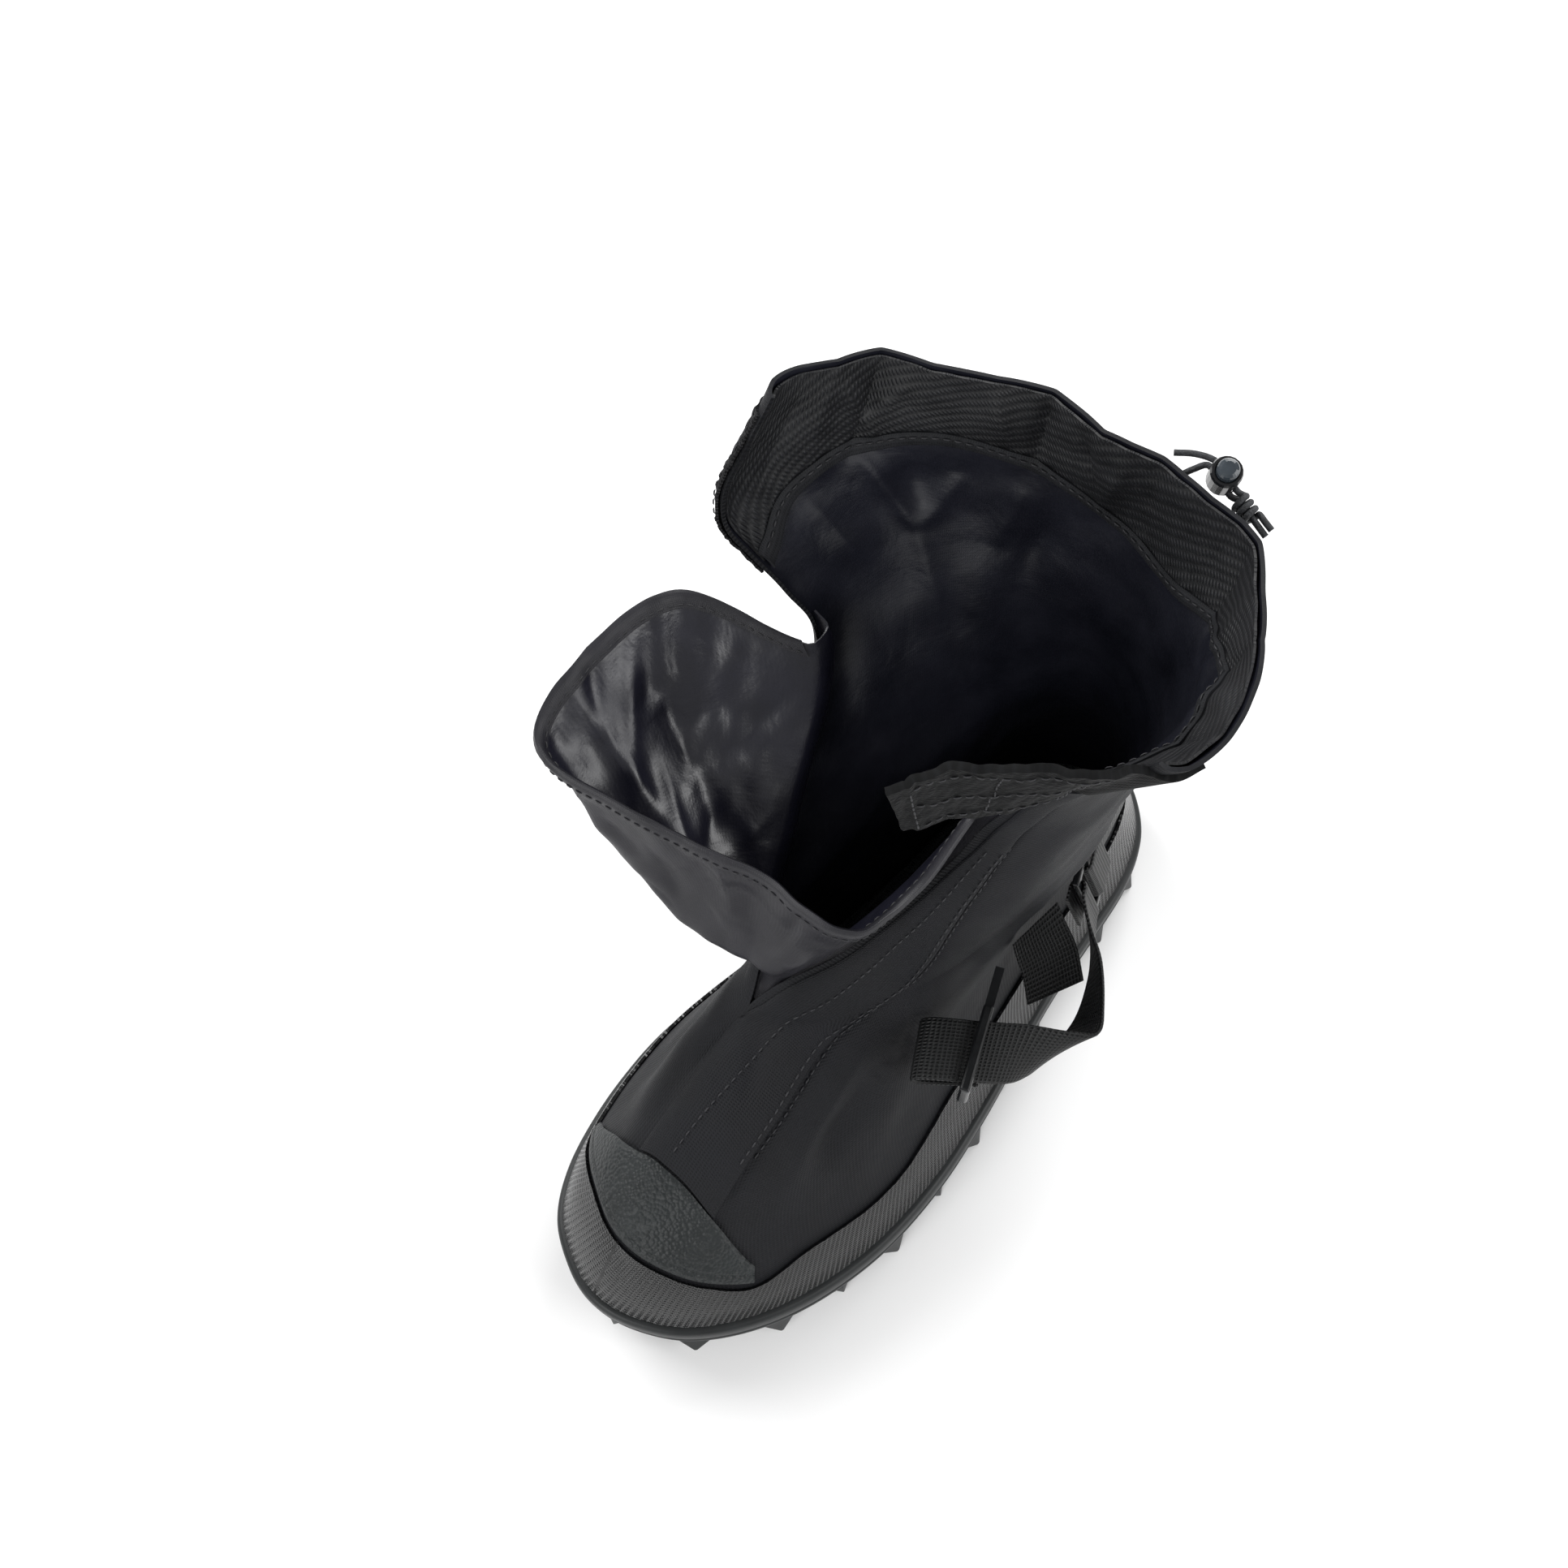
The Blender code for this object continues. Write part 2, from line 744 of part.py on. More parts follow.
def build_rand(material, group):
    track = closed_track(RAND_TOP)
    low = 1.06
    grid = []
    for share in (0.0, 0.34, 0.67, 1.0):
        row = []
        for c in range(COLUMNS):
            turn = 2 * math.pi * c / COLUMNS
            row.append(on_upper(low + (spline(track, turn) - low) * share, turn, SEAM_GAP))
        grid.append(row)
    item = sheet("rand", grid, material, group, closed=True)
    add_wall(item, RAND_WALL, True)
    return item


def build_toe_cap(material, group):
    grid = []
    first, final = CAP_TOP[0][0], CAP_TOP[-1][0]
    count = 16
    for share in (0.0, 0.25, 0.5, 0.75, 1.0):
        row = []
        for c in range(count + 1):
            turn = first + (final - first) * c / count
            stage = spline(CAP_LOW, turn) * (1 - share) + spline(CAP_TOP, turn) * share
            row.append(on_upper(stage, ring_turn(turn), SEAM_GAP))
        grid.append(row)
    item = sheet("toe_cap", grid, material, group)
    add_wall(item, CAP_WALL, True)
    return item


def build_placket(material, group):
    lateral = [(row[0], row[1]) for row in PLACKET]
    medial = [(row[0], row[2]) for row in PLACKET]
    final = PLACKET[-1][0]
    grid = []
    rows, count = 20, 8
    starts = []
    for c in range(count + 1):
        share = c / count
        stage = 4.6
        for _ in range(12):
            turn = spline(medial, stage) * (1 - share) + spline(lateral, stage) * share
            stage = 0.5 * stage + 0.5 * (spline(CAP_TOP, turn) + 0.16)
        starts.append(stage)
    for r in range(rows + 1):
        row = []
        for c in range(count + 1):
            share = c / count
            stage = starts[c] + (final - starts[c]) * r / rows
            turn = spline(medial, stage) * (1 - share) + spline(lateral, stage) * share
            if stage > THROAT_STAGE - 0.3:
                turn = max(turn, 0.03)
            row.append(on_upper(stage, ring_turn(turn), FOLD_GAP))
        grid.append(row)
    item = sheet("placket", grid, material, group)
    add_wall(item, PLACKET_WALL, True)
    return item


def build_collar_facing(material, group):
    inside = -(SHELL_WALL + SEAM_GAP)
    grid = []
    for stage in (15.0, 16.0, 16.9):
        row = []
        for c in range(2, COLUMNS - 1):
            row.append(on_upper(stage, 2 * math.pi * c / COLUMNS, inside))
        grid.append(row)
    item = sheet("collar_facing", grid, material, group)
    add_wall(item, FACING_WALL, False)
    return item


def build_loop_patch(material, group):
    grid = []
    for stage in (14.0, 15.0, 16.0, 16.7):
        row = []
        for c in range(COLUMNS - 8, COLUMNS):
            row.append(on_upper(stage, 2 * math.pi * c / COLUMNS, FOLD_GAP))
        grid.append(row)
    item = sheet("loop_patch", grid, material, group)
    add_wall(item, FACING_WALL, True)
    return item


def build_flap(material, group):
    out = SEAM_GAP + FLAP_WALL / 2
    edges = []
    for stage, column in ((16.8, 0), (15.0, 3)):
        curve = [
            on_upper(stage, turn_at(stage, 1, 0.014), out),
            on_upper(stage, turn_at(stage, 1, 0.006), out),
            on_upper(stage, 0.0, out + 0.0008),
        ]
        for row in FLAP:
            if column == 0:
                curve.append(steps(row[0:3]))
            else:
                lower = steps((row[3], row[4], 0.0))
                lower.z = COLLAR_HEIGHT - FLAP_HEIGHT
                curve.append(lower)
        edges.append(even_row(curve, 18))
    grid = []
    for share in (1.0, 0.75, 0.5, 0.25, 0.0):
        grid.append([edges[0][c].lerp(edges[1][c], share) for c in range(19)])
    item = sheet("closure_flap", grid, material, group)
    wall = add_wall(item, FLAP_WALL, True)
    wall.offset = 0.0
    return item


def sweep(name, centres, sides, half_wide, half_thick, material, group):
    """Band of webbing through the centres, its width along the sides."""
    verts = []
    count = len(centres)
    for k in range(count):
        before = centres[max(k - 1, 0)]
        after = centres[min(k + 1, count - 1)]
        along = (after - before).normalized()
        across = sides[k].normalized()
        face = along.cross(across).normalized()
        for u, w in ((-1, -1), (1, -1), (1, 1), (-1, 1)):
            verts.append(centres[k] + across * (u * half_wide) + face * (w * half_thick))
    faces = [(3, 2, 1, 0)]
    for k in range(count - 1):
        for q in range(4):
            n = (q + 1) % 4
            faces.append((4 * k + q, 4 * k + n, 4 * k + 4 + n, 4 * k + 4 + q))
    end = 4 * (count - 1)
    faces.append((end, end + 1, end + 2, end + 3))
    item = make_object(name, verts, faces, material, group)
    face_out(item)
    return item


def face_out(item):
    work = bmesh.new()
    work.from_mesh(item.data)
    bmesh.ops.recalc_face_normals(work, faces=work.faces)
    work.to_mesh(item.data)
    work.free()


def ring_frame():
    """Centre of the outer bar, then the run, across and outward directions of the ring."""
    run = Vector(RING_RUN).normalized()
    across = Vector(RING_ACROSS)
    across = (across - run * across.dot(run)).normalized()
    outward = run.cross(across).normalized()
    return steps(RING_PLACE), run, across, outward


def bar_wrap(bar, toward, across, outward, start, stop):
    """Centres and sides of webbing folded round a bar, the turn measured from the toward axis."""
    radius = 0.62 * RING_WIRE + SEAM_GAP + WEBBING_WALL / 2
    rows = []
    for k in range(9):
        a = math.radians(start + (stop - start) * k / 8)
        rows.append((bar + (toward * math.cos(a) + outward * math.sin(a)) * radius, across))
    return rows


def smooth_band(rows, parts):
    """Centres and sides along (centre, side) rows, so many to each span."""
    last = len(rows) - 1
    lengths = [0.0]
    for k in range(last):
        lengths.append(lengths[k] + (rows[k + 1][0] - rows[k][0]).length)
    tracks = [[(lengths[k], rows[k][0][axis]) for k in range(last + 1)] for axis in range(3)]
    leans = [[(lengths[k], rows[k][1][axis]) for k in range(last + 1)] for axis in range(3)]
    centres, sides = [], []
    for k in range(last):
        count = max(1, min(parts, round((lengths[k + 1] - lengths[k]) / 0.003)))
        for c in range(count):
            place = lengths[k] + (lengths[k + 1] - lengths[k]) * c / count
            centres.append(Vector([spline(track, place) for track in tracks]))
            sides.append(Vector([spline(track, place) for track in leans]).normalized())
    centres.append(rows[last][0])
    sides.append(rows[last][1].normalized())
    return centres, sides


def table_rows(table):
    return [(steps(row[:3]), Vector(row[3:]).normalized()) for row in table]


def build_strap(material, group):
    bar, run, across, outward = ring_frame()
    wrap = bar_wrap(bar, run, across, outward, -90, 90)
    rows = [(wrap[0][0] - run * 0.007, across), (wrap[0][0] - run * 0.0035, across)]
    rows += wrap
    rows.append((wrap[-1][0] - run * 0.0035, across))
    rows += table_rows(STRAP_OUTER)
    centres, sides = smooth_band(rows, 4)
    return sweep("instep_strap", centres, sides, WEBBING_WIDTH / 2, WEBBING_WALL / 2, material, group)


def build_ankle_strap(material, group):
    centres, sides = smooth_band(table_rows(ANKLE_STRAP), 4)
    return sweep("ankle_strap", centres, sides, WEBBING_WIDTH / 2, WEBBING_WALL / 2, material, group)


def build_heel_strap(material, group):
    out = FOLD_GAP + WEBBING_WALL
    stage = 4.15
    rows = []
    first, final = 2.46, 2 * math.pi - 2.45
    count = 12
    for c in range(count + 1):
        turn = final + (first - final) * c / count
        rise = upper_point(stage + 0.4, turn) - upper_point(stage - 0.4, turn)
        rows.append((on_upper(stage, turn, out), rise.normalized()))
    bar, run, across, outward = ring_frame()
    inner_bar = bar + run * (RING_OPENING + RING_WIRE)
    wrap = bar_wrap(inner_bar, -run, across, outward, -90, 90)
    rows.append((wrap[0][0] + run * 0.004, (across + rows[-1][1]).normalized()))
    rows += wrap
    rows.append((wrap[-1][0] + run * 0.006, across))
    rows.append((wrap[-1][0] + run * 0.013, across))
    centres, sides = smooth_band(rows, 4)
    return sweep("heel_strap", centres, sides, WEBBING_WIDTH / 2, WEBBING_WALL / 2, material, group)


def frame_solid(name, centre, long_axis, short_axis, half_long, half_short, bar, material, group):
    """Rectangular frame of square bar round an opening of the given half sizes."""
    depth = long_axis.cross(short_axis).normalized()
    verts = []
    for u, w in ((1, 1), (-1, 1), (-1, -1), (1, -1)):
        for grow, level in ((0, -0.5), (1, -0.5), (1, 0.5), (0, 0.5)):
            verts.append(
                centre
                + long_axis * (u * (half_long + grow * bar))
                + short_axis * (w * (half_short + grow * bar))
                + depth * (level * bar)
            )
    faces = []
    for k in range(4):
        n = (k + 1) % 4
        for q in range(4):
            m = (q + 1) % 4
            faces.append((4 * k + q, 4 * k + m, 4 * n + m, 4 * n + q))
    item = make_object(name, verts, faces, material, group)
    face_out(item)
    edge = item.modifiers.new("edge", "BEVEL")
    edge.width = 0.24 * bar
    edge.segments = 2
    edge.limit_method = "ANGLE"
    return item


def build_ring(material, group):
    bar, run, across, outward = ring_frame()
    centre = bar + run * (RING_OPENING + RING_WIRE) / 2
    half_long = WEBBING_WIDTH / 2 + 0.0012
    return frame_solid("strap_ring", centre, across, run, half_long, RING_OPENING / 2, RING_WIRE, material, group)


def build_buckle(material, group, cutters):
    across = Vector((-0.40, 0.915, 0.0)).normalized()
    up = Vector((0.0, 0.0, 1.0))
    centre = steps(BUCKLE_PLACE)
    half_long = WEBBING_WIDTH / 2 + 0.0012
    item = frame_solid("buckle", centre, across, up, half_long, 0.0045, BUCKLE_BAR, material, group)
    work = bmesh.new()
    depth = across.cross(up).normalized()
    points = []
    start = half_long + 0.4 * BUCKLE_BAR
    for u, fall in ((start, 0.0), (start + 0.021, 0.0015)):
        for w in (-1, 1):
            for d in (-1, 1):
                points.append(
                    centre + across * u + up * (w * 0.0022 + 0.0008 - fall) + depth * (d * 0.42 * BUCKLE_BAR)
                )
    hull(work, points)
    arm = build_cutter("arm_cutter", work, material, cutters)
    join = item.modifiers.new("arm", "BOOLEAN")
    join.operation = "UNION"
    join.solver = "EXACT"
    join.object = arm
    return item


def lathe(name, origin, axis, profile, sides, material, group):
    """Solid of revolution through (height, radius) pairs; both ends closed."""
    axis = axis.normalized()
    first = axis.orthogonal().normalized()
    second = axis.cross(first)
    verts = []
    for height, radius in profile:
        for k in range(sides):
            a = 2 * math.pi * k / sides
            verts.append(origin + axis * height + (first * math.cos(a) + second * math.sin(a)) * radius)
    faces = [tuple(reversed(range(sides)))]
    for r in range(len(profile) - 1):
        for k in range(sides):
            n = (k + 1) % sides
            faces.append((r * sides + k, r * sides + n, (r + 1) * sides + n, (r + 1) * sides + k))
    base = (len(profile) - 1) * sides
    faces.append(tuple(base + k for k in range(sides)))
    item = make_object(name, verts, faces, material, group)
    face_out(item)
    return item


def lock_frame():
    """Centre, axis and cord direction of the cord lock."""
    ahead = upper_point(LOCK_STAGE, LOCK_TURN - 0.05) - upper_point(LOCK_STAGE, LOCK_TURN + 0.05)
    ahead.z = 0.0
    ahead.normalize()
    axis = Vector((0.16, -0.26, 0.95)).normalized()
    cord = (ahead - axis * ahead.dot(axis)).normalized()
    across = axis.cross(cord).normalized()
    centre = on_upper(LOCK_STAGE, LOCK_TURN, SEAM_GAP + LOCK_DIAMETER / 2 + 0.0035)
    return centre, axis, cord, across


def build_lock(material, button_material, group, cutters):
    centre, axis, cord, across = lock_frame()
    base = centre - axis * (LOCK_LENGTH * 0.3)
    r = LOCK_DIAMETER / 2
    height = LOCK_LENGTH
    body = lathe("cord_lock", base, axis, (
        (0.0, 0.72 * r),
        (0.08 * height, 0.93 * r),
        (0.2 * height, r),
        (0.9 * height, r),
        (height, 0.92 * r),
    ), 20, material, group)
    bore = lathe("bore_cutter", base + axis * (0.52 * height), axis, (
        (0.0, BUTTON_DIAMETER / 2 + 0.0004),
        (height, BUTTON_DIAMETER / 2 + 0.0004),
    ), 20, material, cutters)
    work = bmesh.new()
    points = []
    for u in (-height, height):
        for w in (-1, 1):
            for v in (-1, 1):
                points.append(
                    base + axis * (0.30 * height + w * (CORD_DIAMETER / 2 + 0.0003))
                    + cord * u + across * (v * (CORD_DIAMETER + 0.0005))
                )
    hull(work, points)
    slot = build_cutter("slot_cutter", work, material, cutters)
    for cutter in (bore, slot):
        cutter.hide_render = True
        cutter.display_type = "WIRE"
        cut = body.modifiers.new(cutter.name, "BOOLEAN")
        cut.operation = "DIFFERENCE"
        cut.solver = "EXACT"
        cut.object = cutter
    foot = 0.52 * height + 0.0005 + BUTTON_TRAVEL
    b = BUTTON_DIAMETER / 2
    top = height + BUTTON_TRAVEL + 0.0008
    lathe("lock_button", base, axis, (
        (foot, b),
        (top - 0.0012, b),
        (top - 0.0004, 0.88 * b),
        (top, 0.62 * b),
    ), 20, button_material, group)


def tube(name, centres, radius, sides, material, group):
    verts = []
    count = len(centres)
    along = (centres[1] - centres[0]).normalized()
    first = along.orthogonal().normalized()
    for k in range(count):
        before = centres[max(k - 1, 0)]
        after = centres[min(k + 1, count - 1)]
        along = (after - before).normalized()
        first = (first - along * first.dot(along)).normalized()
        second = along.cross(first)
        for q in range(sides):
            a = 2 * math.pi * q / sides
            verts.append(centres[k] + (first * math.cos(a) + second * math.sin(a)) * radius)
    faces = [tuple(reversed(range(sides)))]
    for k in range(count - 1):
        for q in range(sides):
            n = (q + 1) % sides
            faces.append((k * sides + q, k * sides + n, (k + 1) * sides + n, (k + 1) * sides + q))
    base = (count - 1) * sides
    faces.append(tuple(base + q for q in range(sides)))
    item = make_object(name, verts, faces, material, group)
    face_out(item)
    return item


def build_cords(material, group):
    centre, axis, cord, across = lock_frame()
    middle = centre
    r = CORD_DIAMETER / 2
    beside = r + 0.00025
    half = LOCK_DIAMETER / 2
    coil = 2 * r + 0.0004
    pitch = 2 * r + 0.0003
    for name, side in (("drawcord_a", 1), ("drawcord_b", -1)):
        outer = side * across.dot(upper_normal(LOCK_STAGE, LOCK_TURN)) > 0
        turn = LOCK_TURN + (0.24 if outer else 0.14)
        stage = LOCK_STAGE + (0.06 if outer else -0.14)
        start = on_upper(stage, turn, SEAM_GAP + r + (0.0006 if outer else -0.0006))
        points = [start]
        entry = middle - cord * (half + 0.002) + across * (side * beside)
        points.append(start.lerp(entry, 0.5) + across * (side * 0.0008))
        for place in (-half - 0.001, -0.4 * half, 0.4 * half, half + 0.001):
            points.append(middle + cord * place + across * (side * beside))
        knot = middle + cord * (half + 0.0035)
        if side > 0:
            loops = 3
            for k in range(loops * 12 + 1):
                a = 2 * math.pi * k / 12
                points.append(
                    knot + cord * (pitch * k / 12) + (across * math.cos(a) + axis * math.sin(a)) * coil
                )
            end = knot + cord * (pitch * loops)
            points.append(end + cord * 0.003 + across * (coil * 0.9) + axis * 0.001)
            points.append(end + cord * 0.0065 + across * (coil * 0.95) + axis * 0.001)
        else:
            for place in (0.0, 0.004, 0.008, 0.0145):
                points.append(knot + cord * place)
        tube(name, points, r, 6, material, group)


def settle(group):
    """Move that puts the bottom centre of the whole at the origin."""
    view = bpy.context.evaluated_depsgraph_get()
    low = [1e9] * 3
    high = [-1e9] * 3
    for item in group.objects:
        solid = item.evaluated_get(view)
        shape = solid.to_mesh()
        for vert in shape.vertices:
            for axis in range(3):
                low[axis] = min(low[axis], vert.co[axis])
                high[axis] = max(high[axis], vert.co[axis])
        solid.to_mesh_clear()
    return Vector((-(low[0] + high[0]) / 2, -(low[1] + high[1]) / 2, -low[2]))


def main():
    clear_scene()
    group = bpy.data.collections.new("winter_overshoe")
    cutters = bpy.data.collections.new("cutters")
    bpy.context.scene.collection.children.link(group)
    bpy.context.scene.collection.children.link(cutters)
    cutters.hide_render = True
    rubber = make_material("outsole_rubber", (0.045, 0.05, 0.05), 0.6)
    nylon = make_material("shell_nylon", (0.02, 0.021, 0.026), 0.75)
    felt = make_material("insole_felt", (0.03, 0.03, 0.032), 0.9)
    coated = make_material("gusset_nylon", (0.012, 0.013, 0.02), 0.35)
    rand_rubber = make_material("rand_rubber", (0.045, 0.045, 0.052), 0.35)
    cap_rubber = make_material("toe_cap_rubber", (0.05, 0.06, 0.06), 0.55)
    placket_nylon = make_material("placket_nylon", (0.022, 0.023, 0.028), 0.75)
    facing_twill = make_material("facing_twill", (0.028, 0.028, 0.032), 0.8)
    loop_tape = make_material("loop_tape", (0.035, 0.033, 0.033), 0.95)
    flap_nylon = make_material("flap_nylon", (0.025, 0.025, 0.03), 0.8)
    strap_webbing = make_material("strap_webbing", (0.022, 0.022, 0.019), 0.7)
    heel_webbing = make_material("heel_webbing", (0.022, 0.022, 0.019), 0.7)
    ankle_webbing = make_material("ankle_webbing", (0.022, 0.022, 0.019), 0.7)
    ring_plastic = make_material("ring_plastic", (0.012, 0.012, 0.013), 0.25)
    buckle_plastic = make_material("buckle_plastic", (0.01, 0.01, 0.011), 0.25)
    lock_plastic = make_material("lock_plastic", (0.012, 0.012, 0.013), 0.35)
    button_plastic = make_material("button_plastic", (0.05, 0.055, 0.06), 0.3)
    elastic_cord = make_material("elastic_cord", (0.03, 0.03, 0.03), 0.8)
    build_outsole(rubber, group, cutters)
    build_upper(nylon, group)
    build_insole(felt, group)
    build_gusset(coated, group)
    build_rand(rand_rubber, group)
    build_toe_cap(cap_rubber, group)
    build_placket(placket_nylon, group)
    build_collar_facing(facing_twill, group)
    build_loop_patch(loop_tape, group)
    build_flap(flap_nylon, group)
    build_strap(strap_webbing, group)
    build_heel_strap(heel_webbing, group)
    build_ankle_strap(ankle_webbing, group)
    build_ring(ring_plastic, group)
    build_buckle(buckle_plastic, group, cutters)
    build_lock(lock_plastic, button_plastic, group, cutters)
    build_cords(elastic_cord, group)
    shift = settle(group)
    for item in list(group.objects) + list(cutters.objects):
        item.data.transform(Matrix.Translation(shift))
    print("moved by", [round(value * 1000, 3) for value in shift])


main()
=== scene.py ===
import bpy
import math
import numpy as np
from mathutils import Matrix, Vector


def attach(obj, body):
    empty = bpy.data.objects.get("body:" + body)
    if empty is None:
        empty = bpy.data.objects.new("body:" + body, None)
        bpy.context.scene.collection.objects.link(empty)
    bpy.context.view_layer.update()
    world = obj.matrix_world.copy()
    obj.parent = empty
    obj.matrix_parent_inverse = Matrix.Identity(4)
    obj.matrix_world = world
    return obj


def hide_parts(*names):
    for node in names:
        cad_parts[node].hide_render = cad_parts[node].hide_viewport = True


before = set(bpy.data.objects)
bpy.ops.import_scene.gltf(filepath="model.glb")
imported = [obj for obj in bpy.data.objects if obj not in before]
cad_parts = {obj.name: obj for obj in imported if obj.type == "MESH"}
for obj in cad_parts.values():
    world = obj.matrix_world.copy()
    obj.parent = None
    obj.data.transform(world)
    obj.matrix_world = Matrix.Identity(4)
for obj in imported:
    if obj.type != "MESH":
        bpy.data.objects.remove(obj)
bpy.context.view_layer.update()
body = "shoe"
print("frame loaded", len(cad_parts), "nodes")

# sizes of the shoe, in metres, in the same frame as the solids
shoe = {
    "footLength": 0.330,
    "ballWidth": 0.129,
    "collarHeight": 0.300,
    "wall": 0.0015,
    "seamGap": 0.0004,
    "foldGap": 0.0012,
    "toeSpring": 0.012,
    "heelSpring": 0.002,
    "throatStage": 8.0,
    "collarStage": 17.0,
    "place": (0.026248, 0.000708, 0.0),
}
stepX = shoe["ballWidth"] / 129.0
stepY = shoe["footLength"] / 330.0
stepZ = shoe["collarHeight"] / 300.0
place = np.array(shoe["place"])
fullTurn = 2 * math.pi

# share of the length, lateral edge, medial edge in halves of the ball width
outlineTable = np.array([
    (0.000, -0.14, -0.14), (0.012, 0.14, -0.40), (0.040, 0.39, -0.64), (0.090, 0.62, -0.82),
    (0.150, 0.79, -0.93), (0.220, 0.91, -1.00), (0.300, 0.98, -1.02), (0.400, 0.98, -0.95),
    (0.500, 0.91, -0.84), (0.600, 0.81, -0.74), (0.700, 0.72, -0.69), (0.800, 0.66, -0.67),
    (0.880, 0.60, -0.64), (0.940, 0.48, -0.53), (0.980, 0.28, -0.33), (1.000, 0.00, 0.00),
])
# stage, lateral front x y z, medial front x y z, heel x y z, half widths, foot share, spring, squareness
sectionTable = np.array([
    (0, -9, -163, 14, -9, -163, 14, 0, 163, 14, 67, 57.5, 1.0, 1.0, 2.0),
    (1, -9, -163, 30, -9, -163, 30, 0, 161, 29, 66, 57, 1.0, 1.0, 2.0),
    (2, -10, -154, 46, -10, -154, 46, 0, 155, 50, 57, 53, 1.0, 0.9, 2.0),
    (3, -12, -141, 60, -12, -141, 60, 0, 149, 74, 48, 46, 0.9, 0.7, 2.0),
    (4, -15, -126, 72, -15, -126, 72, 0, 144, 95, 43, 40, 0.8, 0.4, 2.0),
    (5, -19, -108, 82, -19, -108, 82, -1, 140, 110, 43, 34, 0.65, 0.15, 2.0),
    (6, -23, -86, 90, -23, -86, 90, -2, 136, 122, 45, 30, 0.45, 0.0, 2.0),
    (8, -30, -47, 103, -30, -47, 103, -4, 131, 146, 48, 26, 0.1, 0.0, 2.0),
    (10, -8, -12, 138, -52, -6, 138, -6, 129, 178, 44, 31, 0.0, 0.0, 1.6),
    (12, 7, 24, 182, -76, 42, 182, -10, 130, 214, 45, 38, 0.0, 0.0, 1.4),
    (13, 12, 36, 204, -86, 55, 204, -12, 132, 232, 45, 40, 0.0, 0.0, 1.4),
    (15, 32, 46, 252, -118, 44, 252, -16, 137, 266, 45, 41, 0.0, 0.0, 1.4),
    (17, 56, 50, 297, -118, 70, 297, -20, 141, 296, 47, 44, 0.0, 0.0, 1.4),
])


def curveThrough(places, values, at):
    places = np.asarray(places, float)
    values = np.asarray(values, float)
    at = np.clip(np.asarray(at, float), places[0], places[-1])
    k = np.clip(np.searchsorted(places, at, side="left") - 1, 0, len(places) - 2)
    slope = np.empty_like(values)
    slope[1:-1] = (values[2:] - values[:-2]) / (places[2:] - places[:-2])
    slope[0] = (values[1] - values[0]) / (places[1] - places[0])
    slope[-1] = (values[-1] - values[-2]) / (places[-1] - places[-2])
    span = places[k + 1] - places[k]
    s = (at - places[k]) / span
    return (
        (2 * s ** 3 - 3 * s ** 2 + 1) * values[k]
        + (s ** 3 - 2 * s ** 2 + s) * slope[k] * span
        + (3 * s ** 2 - 2 * s ** 3) * values[k + 1]
        + (s ** 3 - s ** 2) * slope[k + 1] * span
    )


def smooth(low, high, value):
    s = np.clip((np.asarray(value, float) - low) / (high - low), 0.0, 1.0)
    return s * s * (3 - 2 * s)


def liftAt(t):
    return (shoe["toeSpring"] * np.maximum(0.0, 1 - t / 0.30) ** 2
            + shoe["heelSpring"] * np.maximum(0.0, (t - 0.85) / 0.15) ** 2)


edgeAngle = np.arccos(1 - 2 * outlineTable[:, 0])
tip = outlineTable[0, 1]


def bareShell(stage, turn):
    stage, turn = np.broadcast_arrays(np.asarray(stage, float), np.asarray(turn, float))
    row = [curveThrough(sectionTable[:, 0], sectionTable[:, k], stage) for k in range(1, 15)]
    lx, ly, lz, mx, my, mz, hx, hy, hz, wideL, wideM, foot, spring, front = row
    lateral = turn <= math.pi
    t = (1 - np.cos(turn)) / 2
    low = stage <= shoe["throatStage"]
    fx = np.where(low, (lx + mx) / 2, np.where(lateral, lx, mx))
    fy = np.where(low, (ly + my) / 2, np.where(lateral, ly, my))
    fz = np.where(low, (lz + mz) / 2, np.where(lateral, lz, mz))
    wide = np.where(lateral, wideL, wideM)
    widest = np.where(lateral, 0.98 - 0.7 * tip, 1.02 + 0.7 * tip)
    angle = np.arccos(np.clip(1 - 2 * t, -1.0, 1.0))
    edge = np.where(
        lateral,
        curveThrough(edgeAngle, outlineTable[:, 1], angle),
        curveThrough(edgeAngle, outlineTable[:, 2], angle),
    ) - tip * (1 - t)
    ahead = np.maximum(0.0, 1 - (np.clip((0.6 - t) / 0.6, 0, 1)) ** front) ** (1 / front)
    behind = np.maximum(0.0, 1 - (np.clip((t - 0.6) / 0.4, 0, 1)) ** 2.2) ** (1 / 2.2)
    oval = np.where(t < 0.6, ahead, behind)
    shape = foot * np.abs(edge) / widest + (1 - foot) * oval
    side = np.where(lateral, 1.0, -1.0)
    x = (fx + (hx - fx) * t + side * wide * shape) * stepX
    y = (fy + (hy - fy) * t) * stepY
    z = (fz + (hz - fz) * t) * stepZ + liftAt(t) * spring
    return np.stack([x, y, z], -1) + place


def shellNormal(stage, turn):
    stage, turn = np.broadcast_arrays(np.asarray(stage, float), np.asarray(turn, float))
    low, high = turn - 0.03, turn + 0.03
    upperPart = stage > shoe["throatStage"] - 0.01
    low = np.where(upperPart, np.maximum(low, 0.0), low % fullTurn)
    high = np.where(upperPart, np.minimum(high, fullTurn), high % fullTurn)
    across = bareShell(stage, high) - bareShell(stage, low)
    above = bareShell(np.minimum(stage + 0.06, shoe["collarStage"]), turn)
    along = above - bareShell(np.maximum(stage - 0.06, 0), turn)
    normal = np.cross(across, along)
    return normal / np.maximum(np.linalg.norm(normal, axis=-1, keepdims=True), 1e-12)


